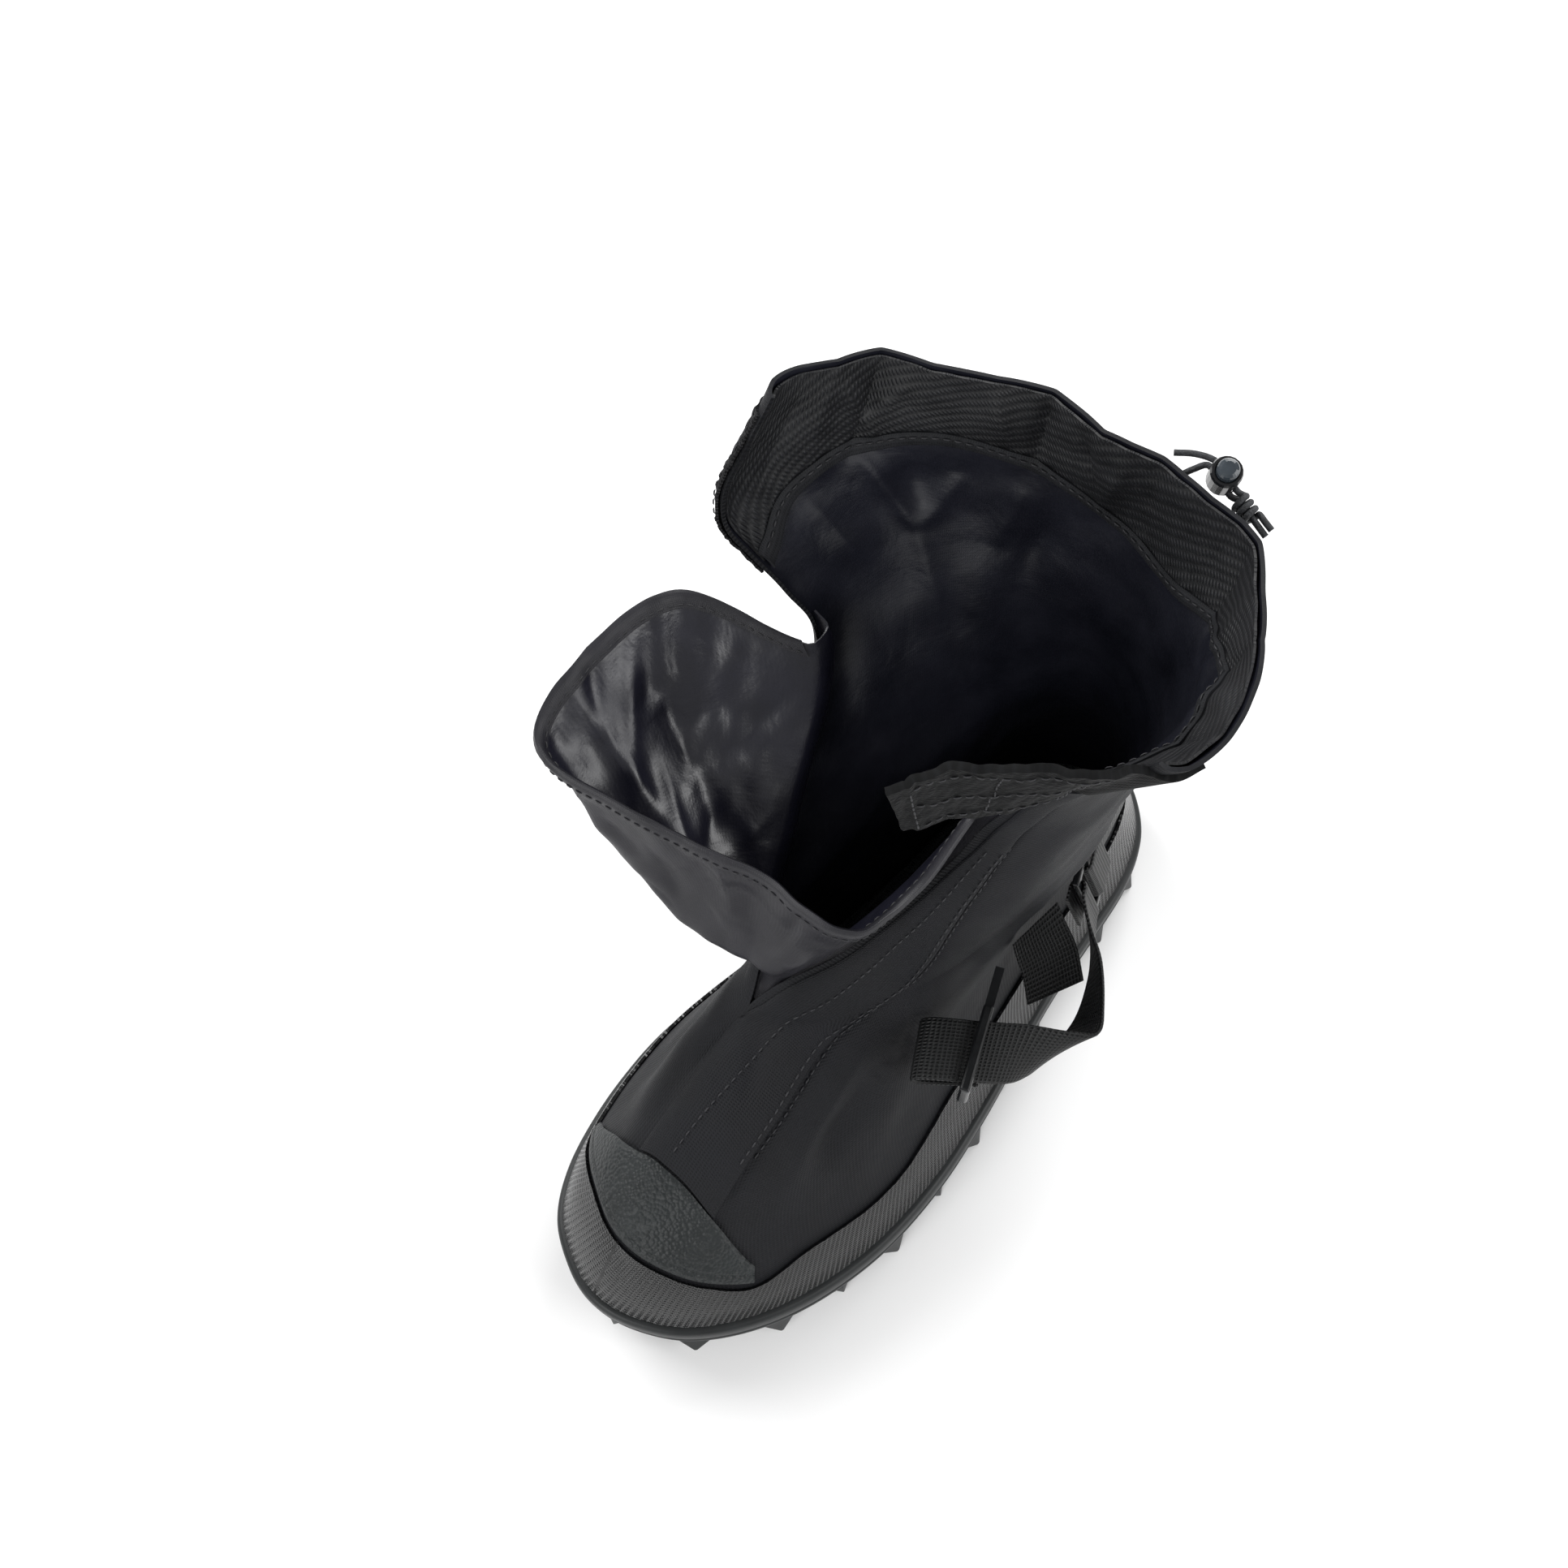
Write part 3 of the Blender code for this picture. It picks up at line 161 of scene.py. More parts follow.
def wander(points, size, seed):
    # soft noise of about the given size, -1 to 1
    rng = np.random.RandomState(seed)
    total = np.zeros(points.shape[:-1])
    for _ in range(9):
        direction = rng.normal(size=3)
        direction *= (0.6 + 0.8 * rng.rand()) * fullTurn / (size * np.linalg.norm(direction))
        total += np.sin(points @ direction + rng.rand() * fullTurn)
    return total / 4.0


# corners and hollows of the slack collar: turn, step outward in mm
collarFacets = np.array([
    (0.00, 2.0), (0.21, 3.0), (0.45, 3.0), (0.93, 0.6), (1.32, -1.0), (1.75, -3.5), (2.05, 0.5),
    (2.32, 4.2), (2.45, 2.8), (2.62, -1.2), (2.80, -3.2), (2.95, -3.6), (3.13, -7.0), (3.28, -9.0),
    (3.45, -6.5), (3.63, -4.0), (3.91, -7.2), (4.26, -8.2), (4.57, -3.0), (4.92, -6.0), (5.28, -3.0),
    (5.70, -1.0), (6.2832, 0.0),
])
# folds of the shell: stage and turn of both ends, width and step outward in mm, 1 for a sharp fold
shellFolds = (
    (3.75, 0.945, 5.45, 1.095, 6.5, -4.6, 0),
    (3.2, 0.80, 5.2, 0.86, 7.0, 2.0, 0),
    (3.0, 1.15, 5.0, 1.35, 8.0, 2.0, 0),
    (4.4, 0.86, 6.9, 0.93, 3.5, 1.8, 1),
    (5.0, 1.25, 7.0, 1.15, 4.0, -1.6, 1),
    (7.9, 6.24, 6.0, 5.98, 3.5, -2.2, 1),
    (7.7, 0.20, 6.2, 0.36, 4.5, -1.4, 0),
    (5.6, 1.20, 7.6, 1.75, 9.0, -2.4, 0),
    (6.2, 1.65, 8.3, 2.20, 8.0, 2.2, 0),
    (5.2, 1.75, 6.8, 2.35, 8.0, -2.2, 0),
    (9.0, 1.25, 12.5, 1.05, 9.0, 2.2, 0),
    (9.5, 1.75, 13.5, 1.60, 10.0, -2.4, 0),
    (8.5, 2.35, 12.0, 2.20, 10.0, 1.8, 0),
    (10.5, 2.70, 14.0, 2.45, 9.0, -1.6, 0),
    (7.0, 3.40, 10.0, 3.60, 12.0, 2.0, 0),
    (9.0, 4.10, 12.5, 4.00, 10.0, -2.2, 0),
    (14.9, 4.60, 12.95, 4.44, 4.2, -3.4, 1),
    (14.3, 4.08, 12.95, 4.44, 4.2, -3.0, 1),
    (12.95, 4.44, 11.3, 4.30, 5.0, -2.0, 1),
    (14.6, 4.33, 13.3, 4.38, 8.0, 2.2, 0),
    (14.2, 3.75, 12.4, 3.95, 4.0, -2.0, 1),
    (13.6, 3.55, 11.6, 3.80, 6.0, 1.8, 0),
    (14.4, 5.05, 12.6, 4.85, 5.0, -1.8, 1),
    (12.2, 5.20, 10.2, 4.95, 7.0, 2.0, 0),
    (12.8, 2.90, 10.8, 3.15, 5.0, -2.0, 1),
    (13.0, 2.30, 11.0, 2.60, 6.0, 1.8, 0),
    (3.0, 5.45, 5.0, 5.20, 9.0, -1.8, 0),
    (4.0, 5.75, 7.0, 5.45, 8.0, 1.8, 0),
    (4.6, 5.98, 7.2, 5.70, 6.0, -1.8, 0),
    (5.5, 5.10, 8.6, 4.90, 10.0, -2.2, 0),
    (6.4, 4.40, 8.4, 4.70, 10.0, 2.0, 0),
    (16.8, 2.32, 14.4, 2.20, 3.5, 2.8, 1),
    (16.8, 4.57, 14.8, 4.70, 3.5, 2.8, 1),
    (16.8, 3.63, 14.9, 3.70, 3.5, 2.8, 1),
    (16.8, 2.05, 14.2, 1.85, 5.0, -2.2, 0),
    (16.9, 0.93, 14.6, 1.10, 4.0, 2.8, 1),
    (16.9, 1.32, 14.9, 1.45, 5.0, -2.4, 0),
    (16.7, 4.86, 15.2, 4.50, 2.6, -2.6, 1),
    (16.6, 4.36, 15.5, 4.60, 2.6, -2.2, 1),
    (16.8, 3.95, 15.4, 3.82, 3.0, -2.2, 1),
    (16.8, 3.42, 15.1, 3.30, 2.6, 2.0, 1),
    (16.6, 3.10, 14.8, 3.24, 3.0, -2.4, 1),
    (16.7, 1.72, 15.4, 1.60, 3.0, 2.2, 1),
    (16.6, 5.20, 15.1, 5.32, 3.0, 2.0, 1),
)
# lapped seam on the outer side of the front panel: stage and turn
lappedSeam = np.array([
    (4.0, 0.525), (5.0, 0.585), (6.0, 0.635), (7.25, 0.675), (7.75, 0.755), (8.15, 0.935),
    (9.0, 0.965), (10.7, 0.775), (12.0, 0.655), (12.8, 0.595), (14.7, 0.515),
])


def foldStep(points, folds):
    # outward step of the cloth from the folds near each point
    total = np.zeros(points.shape[:-1])
    for stageA, turnA, stageB, turnB, width, height, sharp in folds:
        first = bareShell(stageA, turnA)
        last = bareShell(stageB, turnB)
        run = last - first
        share = np.clip(((points - first) @ run) / (run @ run), 0.0, 1.0)
        gap = np.linalg.norm(points - (first + share[..., None] * run), axis=-1) / (width * 0.001)
        ends = np.sin(np.clip(share, 0.02, 0.98) * math.pi) ** 0.6
        form = np.exp(-gap * 1.3) * (1 + gap * 0.6) if sharp else np.exp(-gap ** 2)
        total += height * 0.001 * form * ends
    return total


def seamStep(stage, turn, width, height):
    # groove along the lapped seam, by the turn beside it
    middle = curveThrough(lappedSeam[:, 0], lappedSeam[:, 1], stage)
    metresPerTurn = 0.055
    beside = (turn - middle) * metresPerTurn / (width * 0.001)
    depth = height * 0.001 * np.exp(-np.abs(beside))
    return depth * smooth(4.0, 4.4, stage) * (1 - smooth(14.3, 14.7, stage))


def shellStep(points, stage, turn):
    facet = np.interp(turn, collarFacets[:, 0], collarFacets[:, 1]) * 0.001
    step = facet * smooth(13.6, 16.9, stage)
    step = step + foldStep(points, shellFolds) + seamStep(stage, turn, 1.6, -1.5)
    quiet = smooth(1.2, 3.2, stage)
    step = step + quiet * (0.0007 * wander(points, 0.055, 3) + 0.00035 * wander(points, 0.022, 4))
    nearV = np.exp(-((points - bareShell(8.0, 0.0)) ** 2).sum(-1) / 0.012 ** 2)
    return step * quiet * (1 - 0.85 * nearV)


def onShell(stage, turn, out):
    stage, turn = np.broadcast_arrays(np.asarray(stage, float), np.asarray(turn, float))
    points = bareShell(stage, turn)
    step = shellStep(points, stage, turn)
    return points + shellNormal(stage, turn) * (np.asarray(out) + step)[..., None]


# colours, patterns and gloss

def linearColour(code):
    values = [int(code[k:k + 2], 16) / 255 for k in (1, 3, 5)]
    return tuple(v / 12.92 if v <= 0.04045 else ((v + 0.055) / 1.055) ** 2.4 for v in values) + (1.0,)


def addNode(material, kind, settings=None, links=None):
    node = material.node_tree.nodes.new(kind)
    for key, value in (settings or {}).items():
        if isinstance(key, str) and not key.startswith("in:"):
            setattr(node, key, value)
        else:
            socket = node.inputs[key[3:]] if isinstance(key, str) else node.inputs[key]
            socket.default_value = value
    for key, (source, output) in (links or {}).items():
        material.node_tree.links.new(source.outputs[output], node.inputs[key])
    return node


def newMaterial(name, colour, rough, extra=None):
    material = bpy.data.materials.new(name)
    material.use_nodes = True
    shader = material.node_tree.nodes["Principled BSDF"]
    shader.inputs["Base Color"].default_value = linearColour(colour)
    shader.inputs["Roughness"].default_value = rough
    for key, value in (extra or {}).items():
        shader.inputs[key].default_value = value
    return material, shader


def link(material, source, output, shader, socket):
    material.node_tree.links.new(source.outputs[output], shader.inputs[socket])


def tintAndWear(material, shader, where, settings, sizeMm):
    # cloudy change of colour and gloss over the piece
    cloud = addNode(
        material, "ShaderNodeTexNoise",
        {"in:Scale": 1000.0 / sizeMm, "in:Detail": 5.0, "in:Roughness": 0.6},
        {"Vector": (where, "Object")},
    )
    ramp = addNode(material, "ShaderNodeValToRGB", {}, {"Fac": (cloud, "Fac")})
    for element, position, colour in zip(ramp.color_ramp.elements, (0.32, 0.70), ("colour", "light")):
        element.position = position
        element.color = linearColour(settings[colour])
    low, high = settings["rough"]
    gloss = addNode(
        material, "ShaderNodeMapRange", {"in:To Min": low, "in:To Max": high}, {"Value": (cloud, "Fac")},
    )
    link(material, gloss, "Result", shader, "Roughness")
    return ramp


# a wave texture of scale 1 repeats after this length, in metres
waveLength = 0.31416


def cloth(name, settings):
    # woven or embossed sheet: crossed threads by the UV, cloudy tint, fine crinkles; lengths in mm
    material, shader = newMaterial(name, settings["colour"], settings["rough"][0], settings.get("shader"))
    where = addNode(material, "ShaderNodeTexCoord")
    turned = addNode(
        material, "ShaderNodeMapping", {"in:Rotation": (0.0, 0.0, math.radians(settings.get("turn", 0)))},
        {"Vector": (where, "UV")},
    )
    ramp = tintAndWear(material, shader, where, settings, settings.get("cloud", 14))
    bands = []
    for direction, pitch in zip("XY", settings["thread"]):
        bands.append(addNode(material, "ShaderNodeTexWave", {
            "bands_direction": direction, "in:Scale": waveLength / (pitch * 0.001),
            "in:Distortion": settings.get("wobble", 0.6), "in:Detail": 2.0, "in:Detail Scale": 1.5,
        }, {"Vector": (turned, "Vector")}))
    weave = addNode(
        material, "ShaderNodeMath", {"operation": settings.get("join", "MAXIMUM")},
        {0: (bands[0], "Fac"), 1: (bands[1], "Fac")},
    )
    shade = addNode(
        material, "ShaderNodeMixRGB",
        {"blend_type": "MULTIPLY", "in:Fac": settings.get("threadShade", 0.45)},
        {"Color1": (ramp, "Color"), "Color2": (weave, "Value")},
    )
    link(material, shade, "Color", shader, "Base Color")
    rough = addNode(
        material, "ShaderNodeTexNoise",
        {"in:Scale": 1000.0 / settings.get("crinkle", 9), "in:Detail": 4.0, "in:Distortion": 0.4},
        {"Vector": (where, "Object")},
    )
    bumpA = addNode(
        material, "ShaderNodeBump", {"in:Strength": 1.0, "in:Distance": settings["relief"] * 0.001},
        {"Height": (weave, "Value")},
    )
    bumpB = addNode(
        material, "ShaderNodeBump",
        {"in:Strength": 1.0, "in:Distance": settings.get("crinkleDepth", 0.3) * 0.001},
        {"Height": (rough, "Fac"), "Normal": (bumpA, "Normal")},
    )
    link(material, bumpB, "Normal", shader, "Normal")
    return material


def moulded(name, settings):
    # rubber or plastic: cloudy tint and a pebbled or a fine surface; lengths in mm
    material, shader = newMaterial(name, settings["colour"], settings["rough"][0], settings.get("shader"))
    where = addNode(material, "ShaderNodeTexCoord")
    ramp = tintAndWear(material, shader, where, settings, settings.get("cloud", 10))
    link(material, ramp, "Color", shader, "Base Color")
    if settings.get("grain"):
        cells = addNode(
            material, "ShaderNodeTexVoronoi",
            {"in:Scale": 1000.0 / settings["grain"], "feature": "SMOOTH_F1", "in:Smoothness": 0.35},
            {"Vector": (where, "Object")},
        )
        bump = addNode(
            material, "ShaderNodeBump",
            {"invert": True, "in:Strength": 1.0, "in:Distance": settings["relief"] * 0.001},
            {"Height": (cells, "Distance")},
        )
    else:
        fine = addNode(
            material, "ShaderNodeTexNoise",
            {"in:Scale": 1000.0 / settings.get("fine", 1.2), "in:Detail": 3.0},
            {"Vector": (where, "Object")},
        )
        bump = addNode(
            material, "ShaderNodeBump",
            {"in:Strength": 1.0, "in:Distance": settings.get("relief", 0.05) * 0.001},
            {"Height": (fine, "Fac")},
        )
    link(material, bump, "Normal", shader, "Normal")
    return material


# shell of woven nylon, matt, its threads drawn 1.1 mm apart so that they show
shellNylon = cloth("wovenShellNylon", {
    "colour": "#0b0c10", "light": "#14151a", "rough": (0.54, 0.72), "thread": (1.1, 1.1), "relief": 0.16,
    "threadShade": 0.5, "cloud": 30, "crinkle": 12, "crinkleDepth": 0.8,
    "shader": {"Specular IOR Level": 0.26},
})
# polyurethane coated inner face, glossy, with fine crinkles; its dark navy is lifted as painted light
# inside the shoe
coatedLiningPaintedLight = cloth("coatedNylonPaintedLight", {
    "colour": "#14151d", "light": "#1f2029", "rough": (0.26, 0.44), "thread": (1.1, 1.1), "relief": 0.015,
    "threadShade": 0.12, "cloud": 24, "crinkle": 22, "crinkleDepth": 1.0, "wobble": 1.5,
    "shader": {"Specular IOR Level": 0.55},
})
# thin coated nylon of the gusset, inner face
gussetInside = cloth("coatedGussetNylon", {
    "colour": "#11111a", "light": "#1b1b27", "rough": (0.24, 0.38), "thread": (1.0, 1.0), "relief": 0.01,
    "threadShade": 0.08, "cloud": 30, "crinkle": 20, "crinkleDepth": 0.8, "wobble": 1.5,
    "shader": {"Specular IOR Level": 0.65},
})
# the same cloth seen from its uncoated face, matt violet grey
gussetOutside = cloth("wovenGussetNylon", {
    "colour": "#14141a", "light": "#1e1d24", "rough": (0.40, 0.54), "thread": (0.8, 0.8), "relief": 0.04,
    "threadShade": 0.2, "cloud": 26, "crinkle": 18, "crinkleDepth": 0.6,
    "shader": {"Specular IOR Level": 0.45},
})
# polyester twill of the collar band, ribs 1.5 mm apart at a slant
collarTwill = cloth("polyesterTwill", {
    "colour": "#121317", "light": "#202126", "rough": (0.46, 0.66), "thread": (1.5, 4.2),
    "join": "MULTIPLY", "turn": 28, "relief": 0.42, "threadShade": 0.65, "cloud": 22, "crinkle": 14,
    "crinkleDepth": 1.2, "shader": {"Specular IOR Level": 0.45},
})
# the same twill on the closure flap, with painted shade: coloured darker to cancel the lamp light it faces
flapTwillPaintedShade = cloth("polyesterTwillFlapPaintedShade", {
    "colour": "#07080a", "light": "#0f1012", "rough": (0.60, 0.78), "thread": (1.5, 3.0),
    "join": "MULTIPLY", "turn": 62, "relief": 0.30, "threadShade": 0.65, "cloud": 18, "crinkle": 9,
    "crinkleDepth": 0.5, "shader": {"Specular IOR Level": 0.16},
})
# folded binding tape, matt, ribbed across
bindingTape = cloth("bindingTape", {
    "colour": "#151619", "light": "#212226", "rough": (0.60, 0.78), "thread": (0.9, 1.6), "relief": 0.12,
    "threadShade": 0.4, "shader": {"Specular IOR Level": 0.32},
})
# rubber embossed with a coarse basket weave, cells of 2.5 by 2 mm
randRubber = cloth("embossedRandRubber", {
    "colour": "#08090b", "light": "#111215", "rough": (0.18, 0.30), "thread": (2.5, 2.0),
    "join": "MULTIPLY", "turn": 12, "relief": 0.72, "threadShade": 0.6, "cloud": 40, "crinkle": 20,
    "crinkleDepth": 0.3, "wobble": 0.3, "shader": {"Specular IOR Level": 0.72},
})
# pebble grained rubber of the toe cap, grains about 1.5 mm
capRubber = moulded("pebbledCapRubber", {
    "colour": "#101415", "light": "#181d1e", "rough": (0.42, 0.56), "grain": 1.5, "relief": 0.50,
    "cloud": 18, "shader": {"Specular IOR Level": 0.40},
})
# moulded outsole rubber, matt with a dusty bloom
soleRubber = moulded("mouldedSoleRubber", {
    "colour": "#101314", "light": "#1a1d1e", "rough": (0.40, 0.56), "fine": 1.0, "relief": 0.06,
    "cloud": 14, "shader": {"Specular IOR Level": 0.40},
})
# ribbed felt footbed, dark felt coloured lighter as painted light so it shows in the shade inside the shoe
insoleFeltPaintedLight = cloth("ribbedFeltPaintedLight", {
    "colour": "#2b2d2f", "light": "#3e4143", "rough": (0.85, 0.95), "thread": (3.2, 1.2), "relief": 0.5,
    "threadShade": 0.5,
})
# polypropylene webbing, ribs 1.4 by 1.9 mm apart
webbing = cloth("coarseWebbing", {
    "colour": "#0f1011", "light": "#1a1b1c", "rough": (0.40, 0.54), "thread": (1.4, 1.9), "relief": 0.55,
    "threadShade": 0.75, "cloud": 20, "wobble": 0.3, "crinkle": 12, "crinkleDepth": 0.2,
    "shader": {"Specular IOR Level": 0.35},
})
# soft loop tape with a napped face
loopTape = cloth("nappedLoopTape", {
    "colour": "#0c0c0e", "light": "#19191d", "rough": (0.85, 0.98), "thread": (2.0, 1.3), "relief": 0.5,
    "threadShade": 0.5, "cloud": 4, "wobble": 3.0, "crinkle": 2.5, "crinkleDepth": 0.8,
    "shader": {"Specular IOR Level": 0.2, "Sheen Weight": 0.05},
})
# glossy moulded nylon plastic
glossPlastic = moulded("glossyMouldedNylon", {
    "colour": "#0e0f10", "light": "#17181a", "rough": (0.16, 0.28), "fine": 2.0, "relief": 0.02,
})
buttonPlastic = moulded("glossyButtonPlastic", {
    "colour": "#2a2f34", "light": "#3a4147", "rough": (0.14, 0.22), "fine": 2.0, "relief": 0.02,
})
# polyester sewing thread
sewingThread = moulded("sewingThread", {
    "colour": "#17171a", "light": "#2c2c30", "rough": (0.5, 0.7), "fine": 0.4, "relief": 0.05, "cloud": 3,
})
# braided elastic cord
braidedCord = moulded("braidedElastic", {
    "colour": "#17181a", "light": "#34363a", "rough": (0.55, 0.75), "grain": 0.6, "relief": 0.2,
    "cloud": 2,
})
floorMaterial = newMaterial("paleFloor", "#f4f4f4", 0.75)[0]
print("materials made")


# making pieces

def deselectAll():
    for item in bpy.context.selected_objects:
        item.select_set(False)


def makePiece(name, verts, faces, uvs=None):
    mesh = bpy.data.meshes.new(name)
    mesh.from_pydata([tuple(v) for v in verts], [], [tuple(f) for f in faces])
    if uvs is not None:
        layer = mesh.uv_layers.new(name="UVMap")
        flat = np.asarray(uvs, float)[[v for f in faces for v in f]]
        layer.data.foreach_set("uv", flat.ravel())
    item = bpy.data.objects.new(name, mesh)
    bpy.context.scene.collection.objects.link(item)
    return item


def arcPlaces(points):
    gaps = np.linalg.norm(np.diff(points, axis=0), axis=1)
    return np.concatenate([[0.0], np.cumsum(gaps)])


def gridFaces(rows, count, closed):
    faces = []
    for r in range(rows - 1):
        for c in range(count if closed else count - 1):
            d = (c + 1) % count
            faces.append((r * count + c, r * count + d, (r + 1) * count + d, (r + 1) * count + c))
    return faces


def gridPiece(name, grid, closed=False):
    rows, count = grid.shape[:2]
    across = arcPlaces(grid[rows // 2])
    along = arcPlaces(grid[:, count // 2])
    uvs = np.stack(np.meshgrid(across, along), -1).reshape(-1, 2)
    return makePiece(name, grid.reshape(-1, 3), gridFaces(rows, count, closed), uvs)


def plateFaces(start, count, flip):
    # faces from side to side that close a ring
    faces = []
    for k in range(count // 2):
        loop = [k, k + 1, (count - k - 1) % count, (count - k) % count]
        if flip:
            loop = [loop[0], loop[3], loop[2], loop[1]]
        loop = list(dict.fromkeys(loop))
        if len(loop) > 2:
            faces.append(tuple(start + i for i in loop))
    return faces


def ringPiece(name, rings, mapped):
    # closed solid through rings, from its lower plate to its upper one
    count = len(rings[0])
    verts = np.array(rings).reshape(-1, 3)
    faces = gridFaces(len(rings), count, True) + plateFaces(0, count, True)
    faces += plateFaces((len(rings) - 1) * count, count, False)
    return makePiece(name, verts, faces, verts[:, :2] if mapped else None)


def tubeFaces(rows, count):
    # walls of a tube or strap, and one face at each end
    ends = [tuple(reversed(range(count))), tuple((rows - 1) * count + q for q in range(count))]
    return gridFaces(rows, count, True) + ends


def useOnly(item):
    deselectAll()
    bpy.context.view_layer.objects.active = item
    item.select_set(True)


def inEditMode(item, operator, **options):
    useOnly(item)
    bpy.ops.object.mode_set(mode="EDIT")
    bpy.ops.mesh.select_all(action="SELECT")
    operator(**options)
    bpy.ops.object.mode_set(mode="OBJECT")


def mergeClose(item):
    inEditMode(item, bpy.ops.mesh.remove_doubles, threshold=0.00004)


def applyModifiers(item):
    useOnly(item)
    for modifier in list(item.modifiers):
        bpy.ops.object.modifier_apply(modifier=modifier.name)


def addWall(item, thickness, outward, inner=None):
    wall = item.modifiers.new("wall", "SOLIDIFY")
    wall.thickness = thickness
    wall.offset = 1.0 if outward else -1.0
    wall.use_even_offset = False
    if inner is not None:
        wall.material_offset = inner
        wall.material_offset_rim = 0
    applyModifiers(item)


def paint(item, materials):
    for material in materials:
        if material.name not in item.data.materials:
            item.data.materials.append(material)


def dress(item, materials, nodes=(), angle=40):
    paint(item, materials)
    useOnly(item)
    bpy.ops.object.shade_smooth_by_angle(angle=math.radians(angle))
    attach(item, body)
    if nodes:
        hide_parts(*nodes)


stitches = {"length": 0.0026, "gap": 0.0013, "radius": 0.00034, "sides": 6}
# rings of one stitch: share of its length, share of its radius, rise in radii
stitchRings = ((0.0, 0.45, -0.3), (0.25, 0.95, 0.35), (0.75, 0.95, 0.35), (1.0, 0.45, -0.3))
stitchVerts, stitchFaces = [], []


def sewAlong(points, normals, settings=None):
    s = dict(stitches, **(settings or {}))
    places = arcPlaces(points)
    start = s["gap"]
    pitch = s["length"] + s["gap"]
    while start + s["length"] < places[-1]:
        ends = [
            np.array([np.interp(start + e, places, points[:, k]) for k in range(3)])
            for e in (0.0, s["length"])
        ]
        normal = np.array([np.interp(start + s["length"] / 2, places, normals[:, k]) for k in range(3)])
        normal /= np.linalg.norm(normal)
        run = ends[1] - ends[0]
        run /= np.linalg.norm(run)
        side = np.cross(normal, run)
        base = len(stitchVerts)
        for share, size, rise in stitchRings:
            centre = ends[0] + (ends[1] - ends[0]) * share + normal * (rise * s["radius"])
            for q in range(s["sides"]):
                a = fullTurn * q / s["sides"]
                outward = side * math.cos(a) + normal * math.sin(a)
                stitchVerts.append(centre + outward * s["radius"] * size)
        for face in tubeFaces(len(stitchRings), s["sides"]):
            stitchFaces.append(tuple(base + i for i in face))
        start += pitch


def sewOnShell(route, out, settings=None, parts=40):
    # stitches along a route of stages and turns, out from the shell, or in from it below zero
    route = np.array(route, float)
    at = np.linspace(0, len(route) - 1, parts * (len(route) - 1) + 1)
    stage = curveThrough(np.arange(len(route)), route[:, 0], at)
    turn = curveThrough(np.arange(len(route)), route[:, 1], at)
    points = onShell(stage, turn % fullTurn, out)
    normals = shellNormal(stage, turn % fullTurn) * (1 if out >= -0.0005 else -1)
    sewAlong(points, normals, settings)


# camera at the viewing angle of the reference, and the studio
view = {
    "azimuth": 43.3, "elevation": 65.6, "roll": -1.8, "distance": 0.860, "target": (-0.115, 0.067, 0.0),
    "focal": 2224.0, "width": 1932.0,
}
az, el, roll = (math.radians(view[k]) for k in ("azimuth", "elevation", "roll"))
back = Vector((math.sin(az) * math.cos(el), -math.cos(az) * math.cos(el), math.sin(el)))
right = Vector((math.cos(az), math.sin(az), 0.0))
up = back.cross(right)
camRight = right * math.cos(roll) + up * math.sin(roll)
camUp = -right * math.sin(roll) + up * math.cos(roll)
target = Vector(view["target"]) + Vector(shoe["place"])
cameraData = bpy.data.cameras.new("camera")
cameraData.sensor_width = 36.0
cameraData.lens = view["focal"] / view["width"] * 36.0
cameraData.clip_start = 0.01
camera = bpy.data.objects.new("camera", cameraData)
turnMatrix = Matrix((camRight, camUp, back)).transposed().to_4x4()
camera.matrix_world = Matrix.Translation(target + back * view["distance"]) @ turnMatrix
bpy.context.scene.collection.objects.link(camera)
bpy.context.scene.camera = camera

deselectAll()
bpy.ops.mesh.primitive_plane_add(size=8.0, location=(0, 0, 0))
floor = bpy.context.object
floor.name = "floor"
floor.data.materials.append(floorMaterial)

studio = {
    "world": 0.38,
    "lamps": (
        # name, place, aimed at, size, power
        ("backSoftbox", (-0.45, 1.70, 1.55), (0.0, 0.0, 0.15), 1.3, 34.0),
        ("leftSoftbox", (-1.85, -0.15, 1.45), (0.0, 0.0, 0.10), 1.3, 36.0),
        ("rightSoftbox", (1.85, 0.65, 1.25), (0.0, 0.0, 0.08), 1.3, 26.0),
        ("frontSoftbox", (0.2, -1.95, 1.35), (0.0, -0.1, 0.05), 1.3, 26.0),
    ),
}
world = bpy.data.worlds.new("studio")
world.use_nodes = True
world.node_tree.nodes["Background"].inputs["Color"].default_value = (1.0, 1.0, 1.0, 1.0)
world.node_tree.nodes["Background"].inputs["Strength"].default_value = studio["world"]
bpy.context.scene.world = world
bpy.context.scene.view_settings.view_transform = "Standard"
for lampName, lampPlace, lampAim, lampSize, lampPower in studio["lamps"]:
    lampData = bpy.data.lights.new(lampName, "AREA")
    lampData.size = lampSize
    lampData.energy = lampPower
    lamp = bpy.data.objects.new(lampName, lampData)
    aim = (Vector(lampAim) - Vector(lampPlace)).to_track_quat("-Z", "Y")
    lamp.matrix_world = Matrix.Translation(lampPlace) @ aim.to_matrix().to_4x4()
    bpy.context.scene.collection.objects.link(lamp)
print("camera and studio set")

